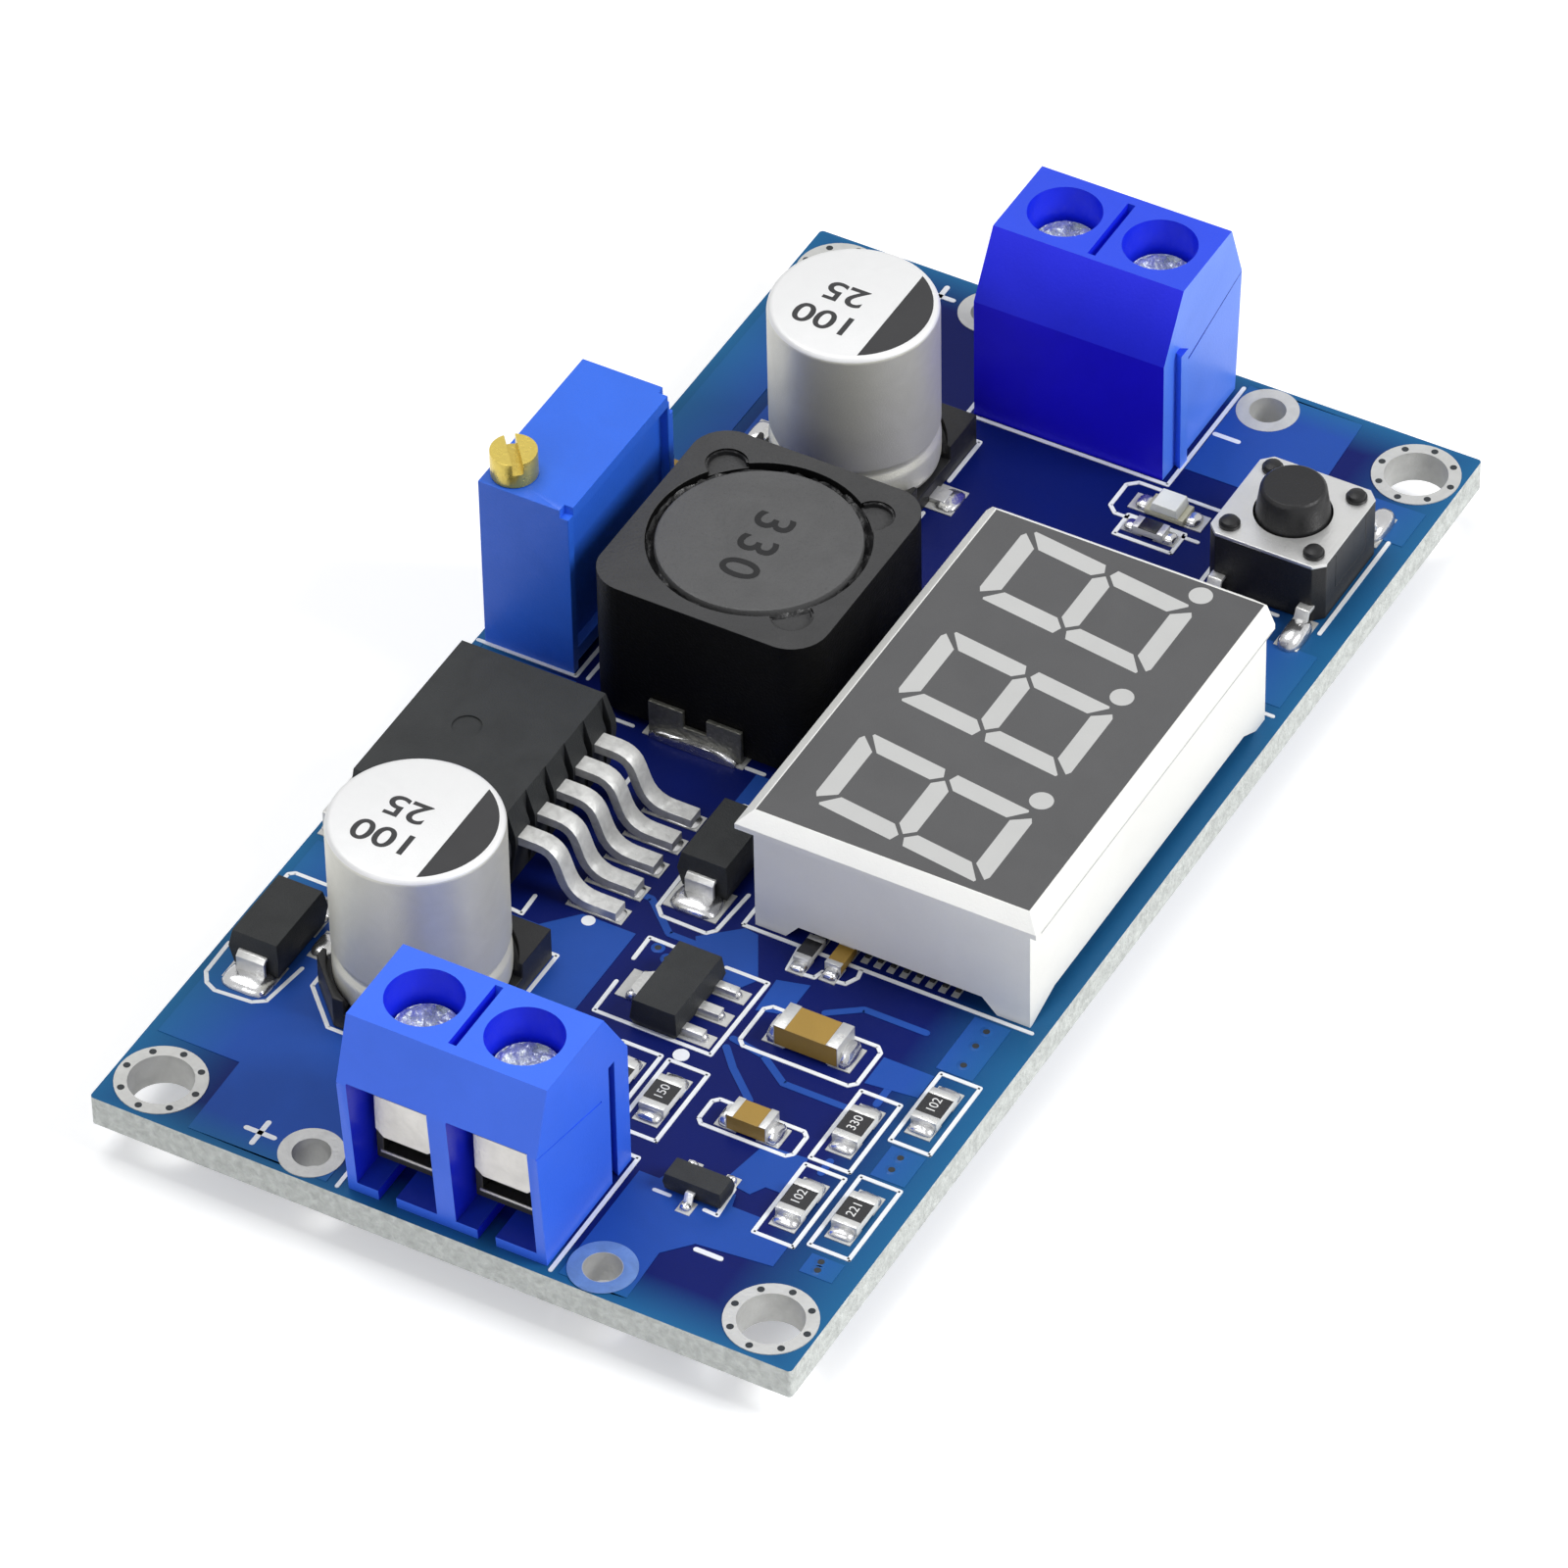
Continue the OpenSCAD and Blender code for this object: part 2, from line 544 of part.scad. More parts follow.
module capacitor_leads() {
  color([0.8, 0.8, 0.8]) capacitor_leads_shape();
}

// ---- regulator
module regulator_leads_shape() {
  for (i = [-2 : 2]) translate([reg_at[0] + i * reg_pitch, reg_at[1] - 0.4, 0]) mirror([0, 1, 0])
    strip(gull(0.9, z0 + 3.05, 1.75, 2.95, 4.9, 0.5), reg_lead_w);
}
module regulator_tab_shape() {
  x = reg_at[0];
  box(x - 5.05, x + 5.05, reg_at[1] + 2.05, reg_at[1] + reg_w + 1.3, zl, zl + reg_tab_t);
}
module regulator_body() {
  x = reg_at[0];
  y = reg_at[1];
  h = z0 + reg_h;
  color([0.13, 0.13, 0.14]) difference() {
    intersection() {
      translate([x - reg_l / 2 - 1, 0, 0]) rotate([90, 0, 90]) linear_extrude(reg_l + 2)
        polygon([[y, zl + 0.02], [y + reg_w - 0.12, zl + 0.02], [y + reg_w, z0 + 1.4],
          [y + reg_w - 0.35, h], [y, h], [y - 0.4, z0 + 3.1], [y - 0.4, z0 + 2.45]]);
      translate([0, y + reg_w + 2, 0]) rotate([90, 0, 0]) linear_extrude(reg_w + 6)
        polygon([[x - reg_l / 2 + 0.1, zl + 0.02], [x + reg_l / 2 - 0.1, zl + 0.02],
          [x + reg_l / 2, z0 + 1.4], [x + reg_l / 2 - 0.3, h],
          [x - reg_l / 2 + 0.3, h], [x - reg_l / 2, z0 + 1.4]]);
    }
    regulator_leads_shape();
    regulator_tab_shape();
    for (i = [-3 : 2])
      box(x + (i + 0.5) * reg_pitch - 0.22, x + (i + 0.5) * reg_pitch + 0.22,
        y - 1, y + 0.02, z0, h + 1);
    rod(x, y + 4.4, 0.7, h - 0.08, h + 1);
  }
}

// ---- diodes and small transistors
module diode_leads_shape() {
  for (s = [0, 180]) rotate([0, 0, s]) translate([2.15, 0, 0]) rotate([0, 0, -90])
    strip([[-0.5, z0 + 1.35], [0.12, z0 + 1.35], [0.33, z0 + 1.15], [0.33, zl],
      [-0.75, zl], [-0.75, zl + 0.18], [0.15, zl + 0.18], [0.15, z0 + 1.08],
      [0.08, z0 + 1.17], [-0.5, z0 + 1.17]], 1.45);
}
module diode_body() {
  color([0.15, 0.15, 0.16]) difference() {
    moulded(4.3, 2.6, zl + 0.1, z0 + 2.15, z0 + 1.26, 0.16);
    diode_leads_shape();
  }
}
module at_diode(p) {
  translate([p[0], p[1], 0]) children();
}
module logic_leads_shape() {
  translate([sot[0], sot[1], 0]) {
    for (x = [-1.5, 1.5]) box(x - 0.22, x + 0.22, -2.2, -0.7, zl, zl + 0.4);
    box(-0.26, 0.26, -2.2, 0.2, zl, zl + 0.4);
    translate([0, 0, zl]) linear_extrude(0.4)
      polygon([[-0.85, 0.2], [0.85, 0.2], [0.85, 1.6], [0.55, 2.05], [-0.55, 2.05], [-0.85, 1.6]]);
  }
}
module logic_supply_body() {
  color([0.13, 0.13, 0.13]) difference() {
    translate([sot[0], sot[1], 0]) moulded(4.45, 2.4, zl, z0 + 1.5, z0 + 0.45, 0.12);
    logic_leads_shape();
  }
}
module transistor_leads_shape() {
  for (p = [[0, 90], [-0.95, -90], [0.95, -90]])
    translate([tr_at[0] + (p[1] > 0 ? -0.65 : 0.65), tr_at[1] + p[0], 0]) rotate([0, 0, p[1]])
      strip(gull(0.15, z0 + 0.62, 0.16, 0.38, 0.6, 0.13), 0.42);
}
module transistor_body() {
  color([0.12, 0.12, 0.12]) difference() {
    translate([tr_at[0], tr_at[1], 0]) moulded(1.3, 2.9, zl + 0.05, z0 + 1, z0 + 0.55, 0.08);
    transistor_leads_shape();
  }
}

// ---- chip parts
cap_t = 0.04;
module at_chip(c) {
  translate([c[0], c[1], zl]) rotate([0, 0, c[2]]) children();
}
module chip_body(c) {
  at_chip(c) box(-c[3] / 2 + cap_t, c[3] / 2 - cap_t, -c[4] / 2, c[4] / 2, cap_t, c[5] - cap_t);
}
module chip_cap(l, w, h, e) {
  for (s = [0, 180]) rotate([0, 0, s]) difference() {
    box(l / 2 - e, l / 2, -w / 2, w / 2, 0, h);
    box(0, l / 2 - cap_t, -w, w, cap_t, h - cap_t);
  }
}
module chip_end_caps() {
  color([0.82, 0.82, 0.83]) {
    for (c = resistors) at_chip(c) chip_cap(c[3], c[4], c[5], c[3] * 0.2);
    for (c = concat(ceramics, small_ceramics)) at_chip(c) chip_cap(c[3], c[4], c[5], c[3] * 0.18);
  }
}
module chip_resistor_glazes() {
  color([0.07, 0.07, 0.08]) for (c = resistors) at_chip(c)
    box(-c[3] * 0.3, c[3] * 0.3, -c[4] / 2, c[4] / 2, c[5] - cap_t, c[5] + 0.01);
}

// ---- led
module at_led() {
  translate([led_at[0], led_at[1], zl]) rotate([0, 0, 90]) children();
}
module led_base() {
  color([0.85, 0.83, 0.7]) at_led() {
    box(-1, 1, -0.6, 0.6, 0, 0.3);
  }
}
module led_lens() {
  color([0.93, 0.93, 0.85, 0.8]) at_led() intersection() {
    box(-0.75, 0.75, -0.6, 0.6, 0.3, 0.8);
    translate([0, 1, 0]) rotate([90, 0, 0]) linear_extrude(2)
      polygon([[-0.75, 0], [0.75, 0], [0.75, 0.3], [0.62, 0.8], [-0.62, 0.8], [-0.75, 0.3]]);
  }
}

// ---- switch
sw_cover_t = 0.2;
sw_floor = z0 + 1;
sw_ledge = z0 + sw_h - sw_cover_t;
module at_switch() {
  translate([sw_at[0], sw_at[1], 0]) children();
}
module switch_leads_shape() {
  for (sy = [-1, 1]) for (q = [90, -90]) translate([0, sy * 2.25, 0]) rotate([0, 0, q])
    translate([0, sw_l / 2, 0]) strip(gull(0.6, z0 + 1, 0.35, 0.75, 1.55, 0.2), 0.7);
}
module switch_base() {
  a = sw_l / 2;
  color([0.1, 0.1, 0.1]) at_switch() {
    difference() {
      translate([0, 0, zl]) linear_extrude(sw_ledge - zl)
        polygon([[-a + 0.5, -a], [a - 0.5, -a], [a, -a + 0.5], [a, a - 0.5],
          [a - 0.5, a], [-a + 0.5, a], [-a, a - 0.5], [-a, -a + 0.5]]);
      rod(0, 0, 2.15, sw_floor, sw_ledge + 1);
      switch_leads_shape();
      for (s = [-1, 1]) box(-1.5, 1.5, s * a - 0.2, s * a + 0.2, z0 + 1.2, sw_ledge + 1);
    }
    for (sx = [-1, 1]) for (sy = [-1, 1])
      rod(sx * 2.15, sy * 2.15, 0.5, sw_ledge, z0 + sw_h + 0.15);
  }
}
module switch_cover() {
  a = sw_l / 2;
  color([0.78, 0.78, 0.78]) at_switch() {
    difference() {
      translate([0, 0, sw_ledge]) linear_extrude(sw_cover_t)
        polygon([[-a + 0.5, -a], [a - 0.5, -a], [a, -a + 0.5], [a, a - 0.5],
          [a - 0.5, a], [-a + 0.5, a], [-a, a - 0.5], [-a, -a + 0.5]]);
      rod(0, 0, button_d / 2 + button_gap, 0, 20);
      for (sx = [-1, 1]) for (sy = [-1, 1])
        rod(sx * 2.15, sy * 2.15, 0.5, 0, 20);
    }
    for (s = [-1, 1]) box(-1.5, 1.5, min(s * a, s * (a - 0.2)), max(s * a, s * (a - 0.2)), z0 + 1.2, sw_ledge);
  }
}
module switch_button() {
  r = button_d / 2;
  color([0.09, 0.09, 0.09]) at_switch() translate([0, 0, z0]) rotate_extrude()
    polygon([[0, 1.85], [0.8, 1.85], [0.8, 2.2], [1.95, 2.2], [1.95, 2.75], [r, 2.75],
      [r, sw_h], [r - 0.2, button_h - 0.15], [r - 0.35, button_h], [0, button_h]]);
}
module switch_leads() {
  color([0.8, 0.8, 0.78]) at_switch() switch_leads_shape();
}
module switch_dome() {
  color([0.75, 0.72, 0.65]) at_switch() translate([0, 0, sw_floor]) rotate_extrude()
    polygon([[0, 0.45], [0.7, 0.42], [1.4, 0.28], [2, 0], [2.1, 0], [2.1, 0.08],
      [1.45, 0.37], [0.75, 0.5], [0, 0.53]]);
}

// ---- display
function sheared(pts, k) = [for (p = pts) [p[0] + p[1] * k, p[1]]];
// outlines of the seven segments of a digit centred on the origin
function segments() = let (
  w = digit_w / 2, h = digit_h / 2, s = stroke, g = seg_gap / 2, m = s / 2
) [
  [[-w + 0.45 + g, h], [w - 0.45 - g, h], [w - 0.2 - g, h - 0.15], [w - s + 0.1 - g, h - s],
    [-w + s - 0.1 + g, h - s], [-w + 0.2 + g, h - 0.15]],
  [[-w + 0.45 + g, -h], [w - 0.45 - g, -h], [w - 0.2 - g, -h + 0.15], [w - s + 0.1 - g, -h + s],
    [-w + s - 0.1 + g, -h + s], [-w + 0.2 + g, -h + 0.15]],
  [[-w + m + g, 0], [-w + s + g, m], [w - s - g, m], [w - m - g, 0],
    [w - s - g, -m], [-w + s + g, -m]],
  [[w, h - 0.35 - g], [w, m * 0.4 + g], [w - m, g], [w - s, m + g],
    [w - s, h - s - g * 1.4], [w - 0.12, h - 0.12 - g * 2.2]],
  [[-w, h - 0.35 - g], [-w, m * 0.4 + g], [-w + m, g], [-w + s, m + g],
    [-w + s, h - s - g * 1.4], [-w + 0.12, h - 0.12 - g * 2.2]],
  [[w, -h + 0.35 + g], [w, -m * 0.4 - g], [w - m, -g], [w - s, -m - g],
    [w - s, -h + s + g * 1.4], [w - 0.12, -h + 0.12 + g * 2.2]],
  [[-w, -h + 0.35 + g], [-w, -m * 0.4 - g], [-w + m, -g], [-w + s, -m - g],
    [-w + s, -h + s + g * 1.4], [-w + 0.12, -h + 0.12 + g * 2.2]]
];
module light_prisms(a, b) {
  for (i = [-1, 0, 1]) translate([disp_c[0] + i * digit_pitch, digit_y, a]) {
    for (p = segments())
      linear_extrude(b - a) polygon(sheared(p, tan(slant)));
    translate([2.8, -digit_h / 2 + 0.3, 0]) cylinder(r = dot_d / 2, h = b - a);
  }
}
module rim_profile(half) {
  h = z0 + disp_h;
  polygon([[-half, z0], [half, z0], [half, h - rim_t - rim_out * 0.4],
    [half + rim_out, h - rim_t], [half + rim_out, h - rim_t + 0.3], [half - 0.05, h],
    [-half + 0.05, h], [-half - rim_out, h - rim_t + 0.3], [-half - rim_out, h - rim_t],
    [-half, h - rim_t - rim_out * 0.4]]);
}
module display_shell() {
  a = disp_l / 2;
  b = disp_w / 2;
  h = z0 + disp_h;
  o = rim_out;
  color([0.9, 0.9, 0.88]) difference() {
    translate([disp_c[0], disp_c[1], 0]) intersection() {
      translate([0, b + 2, 0]) rotate([90, 0, 0]) linear_extrude(disp_w + 4) rim_profile(a);
      translate([-a - 2, 0, 0]) rotate([90, 0, 90]) linear_extrude(disp_l + 4) rim_profile(b);
      linear_extrude(20)
        polygon([[-a - o, -b - o], [a + o - 1, -b - o], [a + o, -b - o + 1.6], [a + o, b + o - 1],
          [a + o - 0.4, b + o], [-a - o, b + o]]);
    }
    translate([disp_c[0], disp_c[1], 0]) {
      // recess for the dark face
      box(-a + 0.1, a - 0.1, -b + 0.1, b - 0.1, h - face_t, h + 1);
      // hollow underside
      box(-a + 0.9, a - 0.9, -b + 0.9, b - 0.9, 0, z0 + shell_in);
      // arches between the feet
      translate([0, b + 1, 0]) rotate([90, 0, 0]) linear_extrude(disp_w + 2)
        polygon([[-a + 0.2, 0], [-a + 0.25, z0], [-a + 2.3, z0 + 0.65], [a - 2.1, z0 + 0.65],
          [a - 0.9, z0], [a - 0.9, 0]]);
      translate([-a - 1, 0, 0]) rotate([90, 0, 90]) linear_extrude(disp_l + 2)
        polygon([[-b + 1.6, 0], [-b + 1.65, z0], [-b + 2.4, z0 + 0.8], [b - 2.2, z0 + 0.8],
          [b - 1.55, z0], [b - 1.5, 0]]);
    }
    light_prisms(z0 + shell_in - 1, h);
  }
}
module display_face() {
  a = disp_l / 2;
  b = disp_w / 2;
  h = z0 + disp_h;
  color([0.3, 0.3, 0.31]) difference() {
    translate([disp_c[0], disp_c[1], 0]) box(-a + 0.1, a - 0.1, -b + 0.1, b - 0.1, h - face_t, h);
    light_prisms(h - 2, h + 1);
  }
}
module display_segments() {
  color([0.85, 0.85, 0.84]) light_prisms(z0 + shell_in, z0 + disp_h);
}
module display_carrier() {
  a = disp_l / 2;
  b = disp_w / 2;
  color([0.7, 0.72, 0.6]) translate([disp_c[0], disp_c[1], 0])
    box(-a + 0.9, a - 0.9, -b + 0.9, b - 0.9, z0 + shell_in - 0.8, z0 + shell_in);
}
module display_pins() {
  color([0.8, 0.8, 0.8]) for (i = [-2.5 : 1 : 2.5]) for (s = [-1, 1])
    translate([disp_c[0] + i * 2.54, disp_c[1] + s * 5.08, 0])
      box(-disp_pin / 2, disp_pin / 2, -disp_pin / 2, disp_pin / 2, tail_z, z0 + shell_in - 0.8);
}

// ---- controller under the display
module controller_leads_shape() {
  for (i = [-4.5 : 1 : 4.5]) for (q = [90, -90])
    translate([mcu_at[0], mcu_at[1] + i * 0.65, 0]) rotate([0, 0, q])
      translate([0, 2.2, 0]) strip(gull(0.2, z0 + 0.62, 0.3, 0.6, 1.05, 0.13), 0.24);
}
module controller_body() {
  color([0.12, 0.12, 0.12]) difference() {
    translate([mcu_at[0], mcu_at[1], 0]) moulded(4.4, 6.5, zl + 0.05, z0 + 1.1, z0 + 0.56, 0.1);
    controller_leads_shape();
  }
}

circuit_board();
tinned_lands();
color([0.15, 0.25, 0.9]) at_terminal(in_at) terminal_housing();  // input_terminal_housing
color([0.8, 0.79, 0.74]) { pole(in_at, -1) terminal_contact(); pole(in_at, 1) terminal_contact(); }  // input_terminal_contacts
color([0.75, 0.76, 0.78]) pole(in_at, -1) terminal_screw();  // input_screw_1
color([0.75, 0.76, 0.78]) pole(in_at, 1) terminal_screw();  // input_screw_2
color([0.7, 0.7, 0.7]) pole(in_at, -1) terminal_cage();  // input_cage_1
color([0.7, 0.7, 0.7]) pole(in_at, 1) terminal_cage();  // input_cage_2
color([0.15, 0.25, 0.9]) at_terminal(out_at) terminal_housing();  // output_terminal_housing
color([0.8, 0.79, 0.74]) { pole(out_at, -1) terminal_contact(); pole(out_at, 1) terminal_contact(); }  // output_terminal_contacts
color([0.75, 0.76, 0.78]) pole(out_at, -1) terminal_screw();  // output_screw_1
color([0.75, 0.76, 0.78]) pole(out_at, 1) terminal_screw();  // output_screw_2
color([0.7, 0.7, 0.7]) pole(out_at, -1) terminal_cage();  // output_cage_1
color([0.7, 0.7, 0.7]) pole(out_at, 1) terminal_cage();  // output_cage_2
trimmer_housing();
trimmer_base();
trimmer_pins();
trimmer_screw();
inductor_shield();
inductor_core();
inductor_winding();
inductor_adhesive();
inductor_clips();
translate([can_in[0], can_in[1], 0]) capacitor_can();  // input_capacitor_can
translate([can_in[0], can_in[1], 0]) capacitor_base();  // input_capacitor_base
translate([can_in[0], can_in[1], 0]) capacitor_leads();  // input_capacitor_leads
translate([can_out[0], can_out[1], 0]) capacitor_can();  // output_capacitor_can
translate([can_out[0], can_out[1], 0]) capacitor_base();  // output_capacitor_base
translate([can_out[0], can_out[1], 0]) capacitor_leads();  // output_capacitor_leads
regulator_body();
color([0.75, 0.75, 0.76]) regulator_tab_shape();  // regulator_tab
color([0.8, 0.8, 0.81]) regulator_leads_shape();  // regulator_leads
at_diode(diode_in) diode_body();  // input_diode_body
color([0.8, 0.8, 0.81]) at_diode(diode_in) diode_leads_shape();  // input_diode_leads
at_diode(diode_out) diode_body();  // output_diode_body
color([0.8, 0.8, 0.81]) at_diode(diode_out) diode_leads_shape();  // output_diode_leads
logic_supply_body();
color([0.8, 0.8, 0.81]) logic_leads_shape();  // logic_supply_leads
transistor_body();
color([0.8, 0.8, 0.81]) transistor_leads_shape();  // transistor_leads
color([0.62, 0.5, 0.36]) for (c = concat(ceramics, small_ceramics)) chip_body(c);  // ceramic_capacitor_bodies
chip_end_caps();
color([0.9, 0.9, 0.88]) for (c = resistors) chip_body(c);  // chip_resistor_bodies
chip_resistor_glazes();
led_base();
led_lens();
switch_base();
switch_cover();
switch_button();
switch_leads();
switch_dome();
display_shell();
display_face();
display_segments();
display_carrier();
display_pins();
controller_body();
color([0.8, 0.8, 0.81]) controller_leads_shape();  // controller_leads
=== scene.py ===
from math import atan2, copysign, cos, pi, radians, sin, tau

import bmesh
import bpy
from mathutils import Matrix, Vector
from mathutils.noise import noise


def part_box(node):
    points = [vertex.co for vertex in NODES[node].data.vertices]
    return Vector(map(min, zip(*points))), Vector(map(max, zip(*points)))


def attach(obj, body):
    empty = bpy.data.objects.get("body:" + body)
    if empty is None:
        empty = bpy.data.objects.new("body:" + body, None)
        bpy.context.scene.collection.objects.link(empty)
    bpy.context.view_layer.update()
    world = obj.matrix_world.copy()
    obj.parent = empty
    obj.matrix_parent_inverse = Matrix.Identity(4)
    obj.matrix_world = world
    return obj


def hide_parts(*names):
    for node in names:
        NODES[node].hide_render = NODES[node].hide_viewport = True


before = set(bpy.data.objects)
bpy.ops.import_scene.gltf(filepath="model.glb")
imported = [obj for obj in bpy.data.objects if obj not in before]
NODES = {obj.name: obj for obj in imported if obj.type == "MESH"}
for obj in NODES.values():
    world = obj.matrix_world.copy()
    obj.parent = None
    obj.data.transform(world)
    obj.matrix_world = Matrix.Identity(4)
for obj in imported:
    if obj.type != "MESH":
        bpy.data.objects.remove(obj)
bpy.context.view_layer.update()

bl_info = {
    "name": "Buck converter module",
    "version": (1, 0, 0),
    "blender": (4, 5, 0),
    "location": "3D Viewport > Sidebar > Converter",
    "description": "Dresses the converter board's CAD frame with finished pieces",
    "category": "Object",
}

MM = 0.001
MERGE = 0.0005  # points nearer than this, in millimetres, become one
SINK = 0.01  # print, vias and solder reach this far into what they lie on


def corners(node):
    """Lowest and highest corner of a CAD node in millimetres."""
    low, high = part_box(node)
    return Vector(low) / MM, Vector(high) / MM


def node_centre(node):
    low, high = corners(node)
    return (low + high) / 2


def barrel(node):
    """Middle, radius, foot and top of a round node."""
    low, high = corners(node)
    return (low.x + high.x) / 2, (low.y + high.y) / 2, (high.x - low.x) / 2, low.z, high.z


BOARD_HIGH = corners("circuit_board")[1]
TOP = BOARD_HIGH.z  # the laminate's upper face
LAND = corners("regulator_tab")[0].z  # the lands' upper face, where the parts stand
QUARTERS = [(sx, sy) for sx in (-1, 1) for sy in (-1, 1)]


# ---- properties
def colour(name, description, default):
    return bpy.props.FloatVectorProperty(
        name=name, description=description, subtype="COLOR", size=3, min=0, max=1, default=default
    )


def length(name, description, millimetres):
    return bpy.props.FloatProperty(
        name=name, description=description, default=millimetres * MM, unit="LENGTH", min=0
    )


class ConverterColours(bpy.types.PropertyGroup):
    mask: colour("Solder mask", "Blue lacquer over bare laminate", (0.003, 0.010, 0.125))
    pour: colour("Mask over copper", "Blue lacquer over the copper areas", (0.019, 0.080, 0.380))
    rim: colour("Mask near the edges", "Thin lacquer where light comes through", (0.016, 0.130, 0.290))
    silk: colour("Silkscreen", "White lines printed on the board", (0.86, 0.88, 0.90))
    terminal: colour("Terminals", "Blue plastic of the screw terminals", (0.045, 0.165, 0.940))
    # the output terminal's blue: the terminals' plastic made darker, as painted shade
    far_terminal: colour("Output terminal", "Its blue plastic, darkened as painted shade", (0.020, 0.070, 0.800))
    trimmer: colour("Trimmer", "Blue plastic of the trimmer", (0.030, 0.150, 0.800))
    ferrite: colour("Ferrite", "Ground top of the inductor's shield", (0.050, 0.050, 0.051))
    disc: colour("Core", "Grey top of the inductor's core", (0.100, 0.100, 0.101))
    package: colour("Packages", "Dark moulded packages", (0.028, 0.030, 0.031))
    shell: colour("Display shell", "Pale plastic of the display", (0.930, 0.925, 0.890))
    face: colour("Display face", "Dark print on the display's face", (0.092, 0.092, 0.094))
    segment: colour("Segments", "Unlit light pieces", (0.560, 0.560, 0.550))


class ConverterSizes(bpy.types.PropertyGroup):
    round_housing: length("Terminal edge", "Rounding of the terminal housings", 0.14)
    round_package: length("Package edge", "Rounding of the moulded packages", 0.07)
    round_metal: length("Metal edge", "Rounding of sheet metal and leads", 0.04)
    round_jamb: length("Window jamb", "Rounding of the terminal windows' posts", 0.32)
    round_shield: length("Shield edge", "Rounding round the inductor's top", 0.28)
    silk_width: length("Silkscreen line", "Width of the white lines", 0.2)
    copper: length("Copper step", "Height of a copper area under the mask", 0.03)


def colours():
    return bpy.context.scene.converter_colours


def millimetres(name):
    return getattr(bpy.context.scene.converter_sizes, name) / MM


